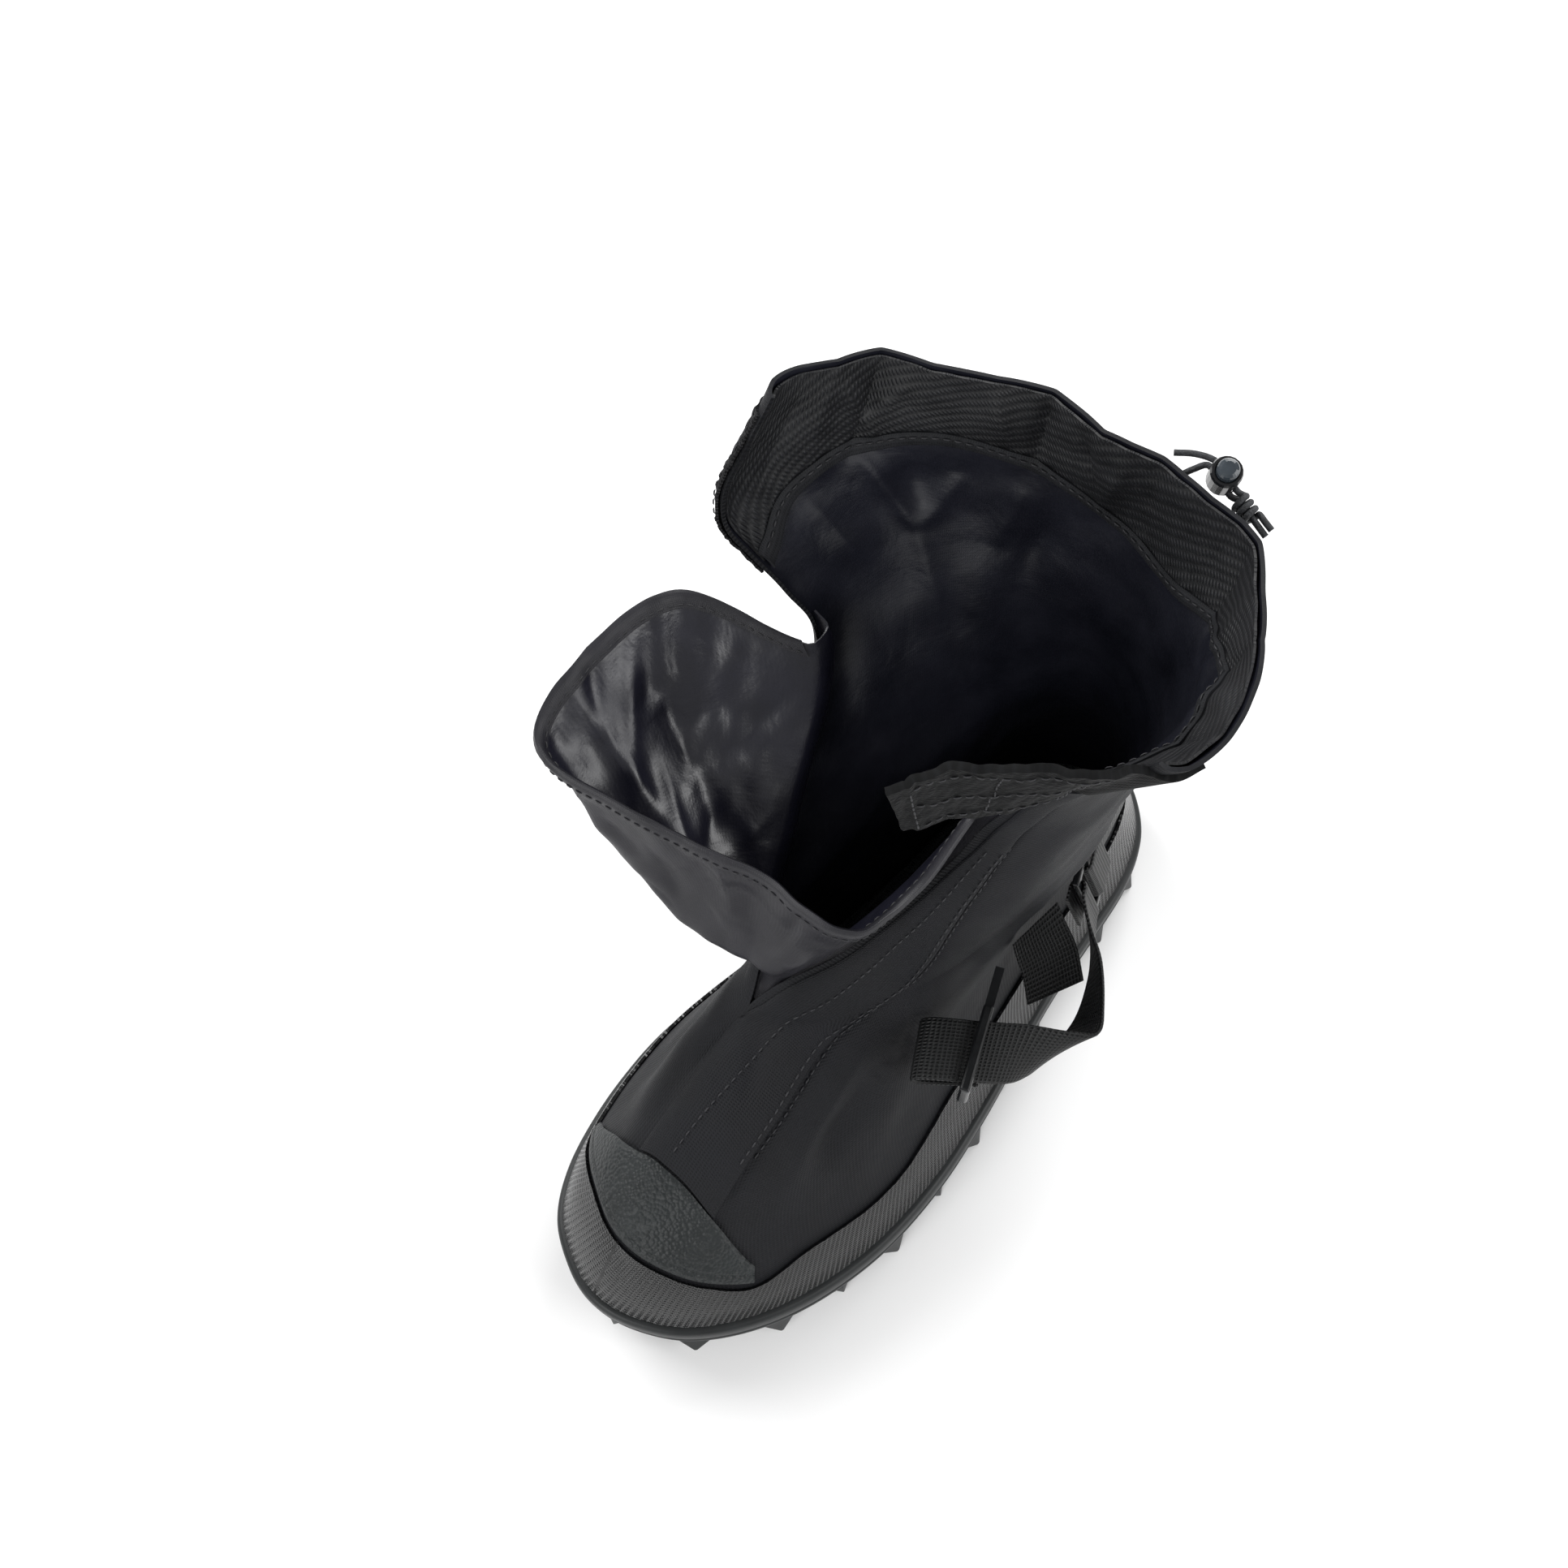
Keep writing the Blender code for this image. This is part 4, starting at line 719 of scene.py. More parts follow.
# shell
shellSettings = {"columns": 300, "rowsLow": 70, "rowsHigh": 80}
stages = np.concatenate([
    np.linspace(0, 8, shellSettings["rowsLow"] + 1),
    np.linspace(8, 17, shellSettings["rowsHigh"] + 1)[1:],
])
turns = np.linspace(0, fullTurn, shellSettings["columns"] + 1)
stageGrid, turnGrid = np.meshgrid(stages, turns, indexing="ij")
hemBand = 0.0009 * smooth(16.25, 16.4, stageGrid) * (1 - 0.5 * smooth(16.8, 17.0, stageGrid))
shell = gridPiece("shellOuter", onShell(stageGrid, turnGrid, hemBand))
mergeClose(shell)
paint(shell, [shellNylon, coatedLiningPaintedLight])
addWall(shell, shoe["wall"], False, inner=1)
dress(shell, [shellNylon, coatedLiningPaintedLight], ["upper"])
print("shell made")

# collar facing with its binding tape
facingSettings = {"low": 15.0, "high": 16.93, "inside": -(shoe["wall"] + shoe["seamGap"])}
facingStages = np.linspace(facingSettings["low"], facingSettings["high"], 26)
facingTurns = np.linspace(fullTurn * 2 / 50, fullTurn * 48 / 50, 240)
facingLow = np.array([
    (0.25, 15.20), (0.80, 15.40), (1.16, 15.80), (1.47, 15.95), (1.86, 15.70), (2.22, 14.95),
    (2.74, 14.15), (3.16, 14.30),
    (3.46, 14.70), (3.82, 15.10), (4.18, 15.35), (4.54, 15.15), (4.78, 15.05), (5.02, 14.80),
    (5.53, 14.20), (6.03, 14.10),
])
lowHere = curveThrough(facingLow[:, 0], facingLow[:, 1], facingTurns)
shares = (facingStages - facingSettings["low"]) / (facingSettings["high"] - facingSettings["low"])
sg = lowHere[None, :] + (facingSettings["high"] - lowHere)[None, :] * shares[:, None]
tg = np.broadcast_to(facingTurns, sg.shape)
ripple = 0.0003 * wander(bareShell(sg, tg), 0.012, 11)
facing = gridPiece("collarFacing", onShell(sg, tg, facingSettings["inside"] - 0.0001 + ripple))
addWall(facing, 0.0009, False)
dress(facing, [collarTwill], ["collar_facing"])
tapeShares = np.linspace(0, 1, 7)
sg = lowHere[None, :] - 0.16 + 0.30 * tapeShares[:, None]
tg = np.broadcast_to(facingTurns, sg.shape)
crown = 0.0006 * np.sin(tapeShares * math.pi)[:, None] + 0.0 * sg
tape = gridPiece("facingBinding", onShell(sg, tg, facingSettings["inside"] - 0.0010 - crown))
addWall(tape, 0.0008, False)
dress(tape, [bindingTape])
sewOnShell(
    list(zip(lowHere[4:-4:6] + 0.05, facingTurns[4:-4:6])), facingSettings["inside"] - 0.0027, parts=8,
)
print("collar facing made")

# rand round the foot
randTop = np.array([
    (-0.85, 1.86), (-0.72, 1.72), (-0.50, 2.39), (-0.30, 2.76), (0.00, 2.76), (0.27, 2.52), (0.50, 2.14),
    (0.69, 1.82), (0.90, 2.08), (1.25, 1.98), (1.50, 2.32), (2.20, 2.50), (3.14, 2.90), (4.10, 2.45),
    (4.80, 2.20), (5.15, 2.05), (5.43, 1.86),
])


def aroundTrack(table, turn):
    order = np.argsort(table[:, 0] % fullTurn)
    at = table[order, 0] % fullTurn
    value = table[order, 1]
    at = np.concatenate([at[-3:] - fullTurn, at, at[:3] + fullTurn])
    value = np.concatenate([value[-3:], value, value[:3]])
    return curveThrough(at, value, turn)


randTurns = np.linspace(0, fullTurn, 321)[:-1]
top = aroundTrack(randTop, randTurns)
shares = np.linspace(0, 1, 16)
sg = 1.06 + (top - 1.06)[None, :] * shares[:, None]
tg = np.broadcast_to(randTurns, sg.shape)
seam = -0.0005 * np.exp(-((tg - 0.075) / 0.004) ** 2) * (1 - smooth(2.4, 2.7, sg))
rand = gridPiece("randStrip", onShell(sg, tg, shoe["seamGap"] + 0.0002 + seam), closed=True)
addWall(rand, 0.0012, True)
dress(rand, [randRubber], ["rand"])
print("rand made")

# toe cap
capTop = np.array([
    (-0.72, 2.15), (-0.50, 3.55), (-0.22, 4.45), (0.00, 4.70), (0.27, 4.45), (0.50, 3.60), (0.69, 2.30),
])
capLow = np.array([
    (-0.72, 1.88), (-0.50, 2.55), (-0.30, 2.92), (0.00, 2.92), (0.27, 2.68), (0.50, 2.30), (0.69, 1.98),
])
capTurns = np.linspace(-0.72, 0.69, 110)
low = curveThrough(capLow[:, 0], capLow[:, 1], capTurns)
high = curveThrough(capTop[:, 0], capTop[:, 1], capTurns)
shares = np.linspace(0, 1, 44)
sg = low[None, :] + (high - low)[None, :] * shares[:, None]
tg = np.broadcast_to(capTurns, sg.shape)
height = (high - low)[None, :] * shares[:, None] * 0.0165
groove = -0.00045 * np.exp(-((height - 0.0030) / 0.0007) ** 2)
roll = -0.0006 * np.exp(-(np.minimum(height, (high - low)[None, :] * 0.0165 - height) / 0.0007))
cap = gridPiece("toeCap", onShell(sg, tg % fullTurn, shoe["seamGap"] + 0.0008 + groove + roll))
addWall(cap, 0.0012, True)
dress(cap, [capRubber], ["toe_cap"])
print("toe cap made")

# placket over the front seam
placketTable = np.array([
    (3.4, 0.46, -0.24), (5.0, 0.55, -0.24), (6.0, 0.60, -0.20), (7.25, 0.64, -0.10), (7.75, 0.72, 0.00),
    (8.15, 0.90, 0.09), (9.0, 0.93, 0.10), (10.7, 0.74, 0.17), (12.0, 0.62, 0.24), (12.8, 0.56, 0.27),
    (14.7, 0.48, 0.10),
])
placketTop = 14.7
shares = np.linspace(0, 1, 60)
starts = np.full(60, 4.6)


def placketTurn(stage, share):
    inner = curveThrough(placketTable[:, 0], placketTable[:, 2], stage)
    outer = curveThrough(placketTable[:, 0], placketTable[:, 1], stage)
    return inner * (1 - share) + outer * share


# the placket starts a little above the edge of the cap, found step by step
for _ in range(12):
    turnNow = placketTurn(starts, shares)
    starts = 0.5 * starts + 0.5 * (curveThrough(capTop[:, 0], capTop[:, 1], turnNow) + 0.08)
along = np.linspace(0, 1, 110)
sg = starts[None, :] + (placketTop - starts)[None, :] * along[:, None]
tg = placketTurn(sg, shares[None, :])
tg = np.where(sg > 7.7, np.maximum(tg, 0.03), tg)
edgeRoll = -0.0005 * (np.exp(-shares / 0.02) + np.exp(-(1 - shares) / 0.02))[None, :]
placket = gridPiece("frontPlacket", onShell(sg, tg % fullTurn, shoe["foldGap"] * 0.5 + edgeRoll))
addWall(placket, 0.0009, True)
dress(placket, [shellNylon], ["placket"])
sewOnShell(
    [
        (4.9, 0.51), (5.75, 0.56), (7.25, 0.605), (7.65, 0.665), (8.15, 0.86), (9.0, 0.885), (10.7, 0.70),
        (12.3, 0.56),
    ],
    0.0017,
)
sewOnShell(
    [
        (4.9, 0.585), (5.75, 0.635), (7.25, 0.685), (7.7, 0.76), (8.2, 0.96), (9.0, 0.98), (10.7, 0.79),
        (12.3, 0.64),
    ],
    0.0003,
)
sewOnShell(
    [
        (5.0, 0.06), (5.85, 0.12), (6.9, 0.225), (7.8, 0.315), (8.7, 0.45), (9.9, 0.43), (11.2, 0.42),
        (12.5, 0.36),
    ],
    0.0017,
)
barTack = dict(stitches, length=0.0034, gap=0.0002, radius=0.0003)
for k in range(5):
    stage = 4.98 + 0.035 * k
    sewOnShell([(stage, 6.20), (stage, 6.275)], 0.0018, barTack, parts=12)
print("placket made")

# loop patch on the inner front edge of the collar
sg, tg = np.meshgrid(
    np.linspace(14.0, 16.7, 50), np.linspace(fullTurn * 42 / 50, fullTurn * 49 / 50, 40), indexing="ij",
)
nap = 0.0004 * wander(bareShell(sg, tg), 0.003, 21)
loopPatch = gridPiece("loopPatch", onShell(sg, tg, shoe["foldGap"] * 0.6 + nap))
addWall(loopPatch, 0.0010, True)
dress(loopPatch, [loopTape], ["loop_patch"])
sewOnShell([(14.1, 5.36), (16.6, 5.36)], 0.0021)
sewOnShell([(14.1, 6.06), (16.6, 6.06)], 0.0021)

# gusset: rows climb the throat, columns run from the outer to the inner throat edge
gussetSettings = {"wall": 0.0008, "rows": 64, "first": 8.10, "last": 13.1, "pucker": 0.006}
gussetLip = np.array([
    (6, 5, 187), (-1, -17, 180), (-16, -26, 185), (-38, -27, 190),
    (-84, -44, 205), (-122, -49, 215), (-131, -28, 222), (-126, 24, 222),
]) * (stepX, stepY, stepZ) + place


def turnFrom(stage, side, distance):
    low, high = np.zeros_like(stage), np.full_like(stage, 1.5)
    start = bareShell(stage, np.full_like(stage, 0.0 if side > 0 else fullTurn))
    for _ in range(22):
        middle = (low + high) / 2
        turn = middle if side > 0 else fullTurn - middle
        near = np.linalg.norm(bareShell(stage, turn) - start, axis=-1) < distance
        low, high = np.where(near, middle, low), np.where(near, high, middle)
    return low if side > 0 else fullTurn - low


def placesBetween(places, counts):
    # every gap between two places split into its own count of even steps
    steps = []
    for k, n in enumerate(counts):
        steps.append(places[k] + (places[k + 1] - places[k]) * np.arange(n) / n)
    return np.concatenate(steps + [[places[-1]]])


def roundRow(points, parts):
    gaps = np.linalg.norm(np.diff(points, axis=0), axis=1)
    places = np.concatenate([[0.0], np.cumsum(np.maximum(gaps, 0.00001))])
    at = placesBetween(places, [parts] * len(gaps))
    return np.stack([curveThrough(places, points[:, axis], at) for axis in range(3)], -1)


def evenRow(points, count):
    places = arcPlaces(points)
    at = np.linspace(0, places[-1], count + 1)
    return np.stack([np.interp(at, places, points[:, axis]) for axis in range(3)], -1)


inside = -(shoe["wall"] + 3 * shoe["seamGap"] + gussetSettings["wall"])
climb = np.linspace(0, 1, gussetSettings["rows"] + 1) ** 1.2
gussetStage = gussetSettings["first"] + (gussetSettings["last"] - gussetSettings["first"]) * climb
edgePoints = {}
for side in (1, -1):
    edgeTurn = np.full_like(gussetStage, 0.0 if side > 0 else fullTurn)
    edgePoints[side] = (
        onShell(gussetStage, turnFrom(gussetStage, side, 0.006), inside),
        onShell(gussetStage, turnFrom(gussetStage, side, 0.003), inside),
        onShell(gussetStage, edgeTurn, inside),
        onShell(gussetStage, edgeTurn, 0.0065),
    )
centreTop = np.array((-50 * stepX, -15 * stepY, 200 * stepZ)) + place
centreLow = onShell(8.0, 0.0, inside)
ahead = shellNormal(7.9, 0.0)
gussetRows = []
for r, s in enumerate(climb):
    opened = float(smooth(0.03, 0.42, s))
    swell = 2 * gussetSettings["pucker"] * float(smooth(0.0, 0.2, s)) * (1 - float(smooth(0.3, 0.8, s)))
    middle = centreLow + (centreTop - centreLow) * s + ahead * swell
    lateral = [edgePoints[1][k][r] for k in range(4)]
    medial = [edgePoints[-1][k][r] for k in range(4)]
    toward = medial[2] - lateral[2]
    reach = min(0.0068, np.linalg.norm(toward) * 0.08)
    toward = toward / np.linalg.norm(toward)
    tipL, tipM = lateral[2] + toward * reach, medial[2] - toward * reach
    bendL = tipL + (lateral[3] + toward * reach - tipL) * opened ** 1.5
    bendM = tipM + (medial[3] - toward * reach - tipM) * opened ** 1.5
    span = []
    for k, point in enumerate(gussetLip):
        straight = tipL + (tipM - tipL) * (k + 1) / (len(gussetLip) + 1)
        span.append(straight + (middle + (point - centreTop) * s ** 1.15 - straight) * opened)
    route = np.array([lateral[0], lateral[1], tipL, bendL] + span + [bendM, tipM, medial[1]])
    dense = roundRow(route, 16)
    last = len(dense) - 1
    gussetRows.append(np.concatenate([
        dense[0:48:4], evenRow(dense[48:last - 31], 130), dense[last - 28:last + 1:4],
    ]))
gussetGrid = np.array(gussetRows)
gAcross = np.linspace(0, 1, gussetGrid.shape[1])
gc, gr = np.meshgrid(gAcross, climb)
dRow = np.gradient(gussetGrid, axis=0)
dCol = np.gradient(gussetGrid, axis=1)
gNormal = np.cross(dCol, dRow)
gNormal /= np.maximum(np.linalg.norm(gNormal, axis=-1, keepdims=True), 1e-9)
# listed folds of the gusset: across and along at both ends, width and height in mm, 1 for a sharp fold
gussetFolds = [
    (0.50, 0.04, 0.30, 0.95, 4.0, 4.4, 1), (0.50, 0.04, 0.40, 0.92, 4.5, -5.0, 1),
    (0.52, 0.04, 0.50, 0.80, 4.0, 4.6, 1),
    (0.52, 0.05, 0.58, 0.86, 4.5, -4.4, 1), (0.52, 0.06, 0.67, 0.90, 4.0, 4.2, 1),
    (0.46, 0.10, 0.22, 0.80, 7.0, -3.0, 0),
    (0.54, 0.08, 0.76, 0.80, 4.0, -3.4, 1), (0.44, 0.20, 0.36, 0.60, 3.0, 2.4, 1),
    (0.60, 0.30, 0.72, 0.66, 3.0, 2.4, 1),
    (0.74, 0.55, 0.86, 0.92, 3.6, 2.4, 1), (0.80, 0.60, 0.93, 0.80, 3.4, -2.2, 1),
    (0.62, 0.60, 0.74, 0.94, 3.2, 2.0, 1),
    (0.56, 0.70, 0.62, 0.97, 3.4, -2.2, 1), (0.86, 0.45, 0.96, 0.60, 3.0, 2.0, 1),
    (0.70, 0.40, 0.82, 0.52, 3.4, -1.8, 1),
    (0.35, 0.75, 0.46, 0.90, 3.6, 1.8, 1), (0.66, 0.82, 0.70, 0.99, 3.0, -2.0, 1),
    (0.76, 0.78, 0.79, 0.99, 3.0, 1.8, 1),
]
rng = np.random.RandomState(5)
for _ in range(46):
    c0, r0 = rng.uniform(0.18, 0.95), rng.uniform(0.25, 0.97)
    angle, size = rng.uniform(0, math.pi), rng.uniform(0.04, 0.13)
    c1, r1 = c0 + size * math.cos(angle) * 0.7, r0 + size * math.sin(angle)
    width, height = rng.uniform(1.8, 3.4), rng.choice((-1, 1)) * rng.uniform(0.5, 1.3)
    gussetFolds.append((c0, r0, c1, r1, width, height, 1))


def gussetSpot(c, r):
    row = int(np.clip(np.searchsorted(climb, r), 0, len(climb) - 1))
    return gussetGrid[row, int(np.clip(c, 0, 1) * (len(gAcross) - 1))]


gussetStep = np.zeros(gc.shape)
for c0, r0, c1, r1, width, height, sharp in gussetFolds:
    first, final = gussetSpot(c0, r0), gussetSpot(c1, r1)
    run = final - first
    share = np.clip(((gussetGrid - first) @ run) / max(run @ run, 1e-9), 0, 1)
    gap = np.linalg.norm(gussetGrid - (first + share[..., None] * run), axis=-1) / (width * 0.001)
    form = np.exp(-gap * 1.3) * (1 + 0.6 * gap) if sharp else np.exp(-gap ** 2)
    gussetStep += height * 0.001 * form * np.sin(np.clip(share, 0.03, 0.97) * math.pi) ** 0.5
gussetStep += 0.0010 * wander(gussetGrid, 0.040, 8) + 0.0004 * wander(gussetGrid, 0.014, 9)
freeHem = smooth(0.10, 0.24, gc) * (1 - smooth(0.86, 0.95, gc)) * smooth(0.05, 0.30, gr)
gussetGrid = gussetGrid + gNormal * (gussetStep * freeHem)[..., None]
gusset = gridPiece("gussetCloth", gussetGrid)
paint(gusset, [gussetInside, gussetOutside])
addWall(gusset, gussetSettings["wall"], False, inner=1)
dress(gusset, [gussetInside, gussetOutside], ["gusset"], angle=60)
# binding folded over the free edge of the gusset
lip = evenRow(gussetGrid[-1, 10:-9], 150)
below = evenRow(gussetGrid[-4, 10:-9], 150)
lipNormal = np.cross(np.gradient(lip, axis=0), lip - below)
lipNormal /= np.linalg.norm(lipNormal, axis=-1, keepdims=True)
lipDown = (below - lip) / np.linalg.norm(below - lip, axis=-1, keepdims=True)
sleeve = []
for down, out in (
    (0.0062, 0.0005), (0.0030, 0.0006), (0.0004, 0.0005), (-0.0006, -0.0002), (0.0004, -0.0014),
    (0.0030, -0.0016), (0.0062, -0.0015),
):
    sleeve.append(lip + lipDown * down + lipNormal * out)
lipBinding = gridPiece("gussetBinding", np.array(sleeve))
addWall(lipBinding, 0.0004, True)
dress(lipBinding, [gussetOutside], angle=60)
sewAlong(lip + lipDown * 0.0046 + lipNormal * 0.0010, lipNormal)
sewAlong(lip + lipDown * 0.0046 - lipNormal * 0.0021, -lipNormal)
print("gusset made")

# outsole: cup wall with two bands and a groove, then its lugs
soleSettings = {
    "half": 0.163, "length": 0.326, "lugDepth": 0.008, "plate": 0.005, "archRise": 0.0025,
    "rimWall": 0.0036, "rimBead": 0.0012, "columns": 260,
    "lugLength": 0.019, "lugReach": 0.004, "lugInset": 0.017,
}


def planPoint(stage, turn, out):
    before = bareShell(stage, (turn - 0.04) % fullTurn)
    after = bareShell(stage, (turn + 0.04) % fullTurn)
    along = after - before
    flat = np.stack([along[..., 1], -along[..., 0], np.zeros_like(along[..., 0])], -1)
    flat /= np.linalg.norm(flat, axis=-1, keepdims=True)
    return bareShell(stage, turn) + flat * np.asarray(out)[..., None], flat


def shareOf(turn):
    y = bareShell(0.0, turn)[..., 1] - place[1]
    return np.clip((y + soleSettings["half"]) / soleSettings["length"], 0, 1)


def archAt(t):
    return soleSettings["archRise"] * smooth(0.46, 0.56, t) * (1 - smooth(0.66, 0.76, t))


def pulledIn(ring, share):
    # a ring narrowed toward the middle line of the shoe
    narrow = ring.copy()
    narrow[:, 0] = ring[:, 0] * (1 - share) + (place[0] + 0.002) * share
    return narrow


soleTurns = np.linspace(0, fullTurn, soleSettings["columns"] + 1)[:-1]
soleShare = shareOf(soleTurns)
rimHeight = bareShell(1.0, soleTurns)[:, 2]
low = soleSettings["lugDepth"] + liftAt(soleShare) + archAt(soleShare)
baseOut = soleSettings["rimWall"] - soleSettings["rimBead"]
bead = soleSettings["rimBead"]
rings = []
bottom, _ = planPoint(np.zeros_like(soleTurns), soleTurns, np.full_like(soleTurns, baseOut - 0.0012))
for shrink in (0.0, 0.35, 0.7, 0.93):
    ring = pulledIn(bottom, shrink)
    ring[:, 2] = low
    rings.insert(0, ring)
for share, out in (
    (0.03, baseOut - 0.0004), (0.07, baseOut + 0.3 * bead), (0.16, baseOut + 0.7 * bead),
    (0.40, baseOut + 0.95 * bead), (0.44, baseOut + 0.8 * bead), (0.47, baseOut + 0.15 * bead),
    (0.50, baseOut), (0.60, baseOut), (0.63, baseOut + 0.15 * bead), (0.66, baseOut + 0.8 * bead),
    (0.70, baseOut + 1.0 * bead), (0.90, baseOut + 1.05 * bead), (0.95, baseOut + 0.85 * bead),
    (0.985, baseOut + 0.35 * bead), (1.0, baseOut - 0.0003),
):
    point, _ = planPoint(
        np.full_like(soleTurns, share), soleTurns, np.full_like(soleTurns, out + shoe["seamGap"]),
    )
    point[:, 2] = low + (rimHeight - low) * share
    rings.append(point)
floorHigh = soleSettings["lugDepth"] + soleSettings["plate"] + liftAt(soleShare)
for stage, share in ((1.0, 1.0), (0.5, 0.5), (0.0, 0.0)):
    point, _ = planPoint(
        np.full_like(soleTurns, stage), soleTurns, np.full_like(soleTurns, shoe["seamGap"]),
    )
    point[:, 2] = floorHigh + (rimHeight - floorHigh) * share
    rings.append(point)
inner = rings[-1]
for shrink in (0.5, 0.93):
    rings.append(pulledIn(inner, shrink))
outsole = ringPiece("outsoleCup", rings, False)
mergeClose(outsole)

# side, share of the length, 1 for a large ridged lug
edgeLugs = (
    (1, 0.002, 0), (1, 0.048, 1), (1, 0.135, 1), (1, 0.220, 0), (1, 0.305, 1), (1, 0.395, 0), (1, 0.480, 1),
    (1, 0.570, 0), (1, 0.655, 0), (1, 0.740, 0), (1, 0.815, 1), (1, 0.905, 1), (1, 0.978, 0),
    (-1, 0.030, 1),
    (-1, 0.110, 0), (-1, 0.190, 1), (-1, 0.275, 0), (-1, 0.360, 1), (-1, 0.450, 0), (-1, 0.540, 1),
    (-1, 0.630, 0), (-1, 0.720, 0), (-1, 0.800, 1), (-1, 0.890, 1), (-1, 0.965, 0),
)
innerLugs = (
    (0.115, -0.10), (0.200, -0.38), (0.200, 0.20), (0.290, -0.10), (0.375, -0.38), (0.375, 0.26),
    (0.460, -0.06), (0.760, 0.00), (0.850, 0.00),
)


def hullPiece(name, points):
    item = makePiece(name, points, [])
    inEditMode(item, bpy.ops.mesh.convex_hull)
    return item


def lugTop(t):
    return soleSettings["lugDepth"] + float(liftAt(t)) + float(archAt(t)) + 0.3 * soleSettings["plate"]


lugPieces = []
for side, t, large in edgeLugs:
    angle = math.acos(1 - 2 * t)
    turn = np.array(angle if side > 0 else fullTurn - angle)
    edge, flat = planPoint(np.array(0.0), turn, np.array(baseOut))
    shareHere = float(shareOf(turn))
    along = np.array((-flat[1], flat[0], 0.0))
    size = 1.0 if large else 0.62
    lowZ = float(liftAt(shareHere)) + 0.6 * float(archAt(shareHere))
    topZ = lugTop(shareHere)
    wide = soleSettings["lugLength"] / 2 * size
    inset = soleSettings["lugInset"] * (0.6 + 0.4 * size)
    ridge = topZ + (0.62 if large else 0.22) * (float(bareShell(1.0, turn)[2]) - topZ)
    backIn = -0.35 * soleSettings["rimWall"]
    block = (
        (-0.62 * wide, -inset, lowZ), (0.62 * wide, -inset, lowZ), (0.62 * wide, 0.0, lowZ),
        (-0.62 * wide, 0.0, lowZ), (-wide, -inset - 0.002, topZ), (wide, -inset - 0.002, topZ),
        (wide, backIn, topZ), (-wide, backIn, topZ),
    )
    wedge = (
        (-0.55 * wide, backIn, lowZ), (0.55 * wide, backIn, lowZ),
        (0.0, soleSettings["lugReach"] * size, lowZ), (-wide, backIn, topZ), (wide, backIn, topZ),
        (0.0, backIn, ridge), (0.0, 0.35 * soleSettings["lugReach"] * size, topZ),
    )
    for corners in (block, wedge):
        points = [
            np.array((edge[0], edge[1], 0.0)) + along * u + flat * w + np.array((0, 0, z))
            for u, w, z in corners
        ]
        lugPieces.append(hullPiece("lug", points))
for t, offset in innerLugs:
    along = -soleSettings["half"] + soleSettings["length"] * t
    centre = np.array((offset * shoe["ballWidth"] / 2, along, 0.0)) + place
    points = []
    for z, scale in ((float(liftAt(t)), 0.72), (lugTop(t), 1.0)):
        for u, w in ((-0.5, 0.0), (-0.22, 0.4), (0.22, 0.4), (0.5, 0.0), (0.22, -0.4), (-0.22, -0.4)):
            points.append(
                centre + np.array((u, w, 0.0)) * soleSettings["lugLength"] * scale + np.array((0, 0, z))
            )
    lugPieces.append(hullPiece("lug", points))
deselectAll()
for item in lugPieces:
    item.select_set(True)
bpy.context.view_layer.objects.active = lugPieces[0]
bpy.ops.object.join()
lugs = bpy.context.object
lugs.name = "outsoleLugs"
bevel = lugs.modifiers.new("soften", "BEVEL")
bevel.width = 0.0006
bevel.segments = 2
bevel.limit_method = "ANGLE"
applyModifiers(lugs)
dress(outsole, [soleRubber], ["outsole"], angle=50)
dress(lugs, [soleRubber], angle=30)
print("outsole made")

# insole
insoleTurns = np.linspace(0, fullTurn, 201)[:-1]
insoleShare = shareOf(insoleTurns)
insideFoot = -(shoe["wall"] + 2 * shoe["seamGap"])
rim, _ = planPoint(np.zeros_like(insoleTurns), insoleTurns, np.full_like(insoleTurns, insideFoot))
rings = []
for rise, shrink in ((0.0, 0.0), (0.0026, 0.0), (0.003, 0.006), (0.003, 0.3), (0.003, 0.6), (0.003, 0.97)):
    ring = pulledIn(rim, shrink)
    floorZ = soleSettings["lugDepth"] + soleSettings["plate"] + liftAt(insoleShare)
    ring[:, 2] = floorZ + shoe["seamGap"] + rise
    rings.append(ring)
insole = ringPiece("insoleFeltBed", rings, True)
dress(insole, [insoleFeltPaintedLight], ["insole"])
print("insole made")

# webbing straps
strapSettings = {"width": 0.025, "wall": 0.0016, "ringWire": 0.0030, "ringOpening": 0.0075}
strapTable = (
    (51.5, 69.0, 89.5, -0.18, -0.08, 0.98), (61.5, 58.5, 89.5, 0.05, 0.02, 1.00),
    (71, 42, 90.5, 0.30, 0.15, 0.94),
    (73.8, 28, 94, 0.45, 0.50, 0.74), (69.6, 16.3, 98, 0.12, 0.92, 0.38),
    (59.4, 5.5, 103, -0.34, 0.93, 0.12),
    (48.7, -4.3, 106.9, -0.45, 0.89, 0.0), (40.2, -11.9, 110.6, -0.50, 0.86, 0.0),
    (34.6, -16.4, 111.0, -0.50, 0.86, 0.0),
    (31.6, -18.8, 107.6, -0.50, 0.86, 0.0), (34.6, -16.4, 104.3, -0.50, 0.86, 0.0),
    (43.0, -9.0, 102.4, -0.48, 0.88, 0.0),
    (52.0, -1.9, 101.7, -0.45, 0.89, 0.0),
)
ankleTable = (
    (31.4, 57.0, 93.2, 0.12, 0.94, 0.26), (37.5, 53.8, 91.0, 0.24, 0.91, 0.32),
    (45, 50.5, 87, 0.40, 0.85, 0.34), (54.5, 43.5, 81, 0.46, 0.82, 0.34),
)


def unit(vector):
    vector = np.asarray(vector, float)
    return vector / np.linalg.norm(vector)


def tableRows(table):
    return [(np.array(row[:3]) * (stepX, stepY, stepZ) + place, unit(row[3:])) for row in table]


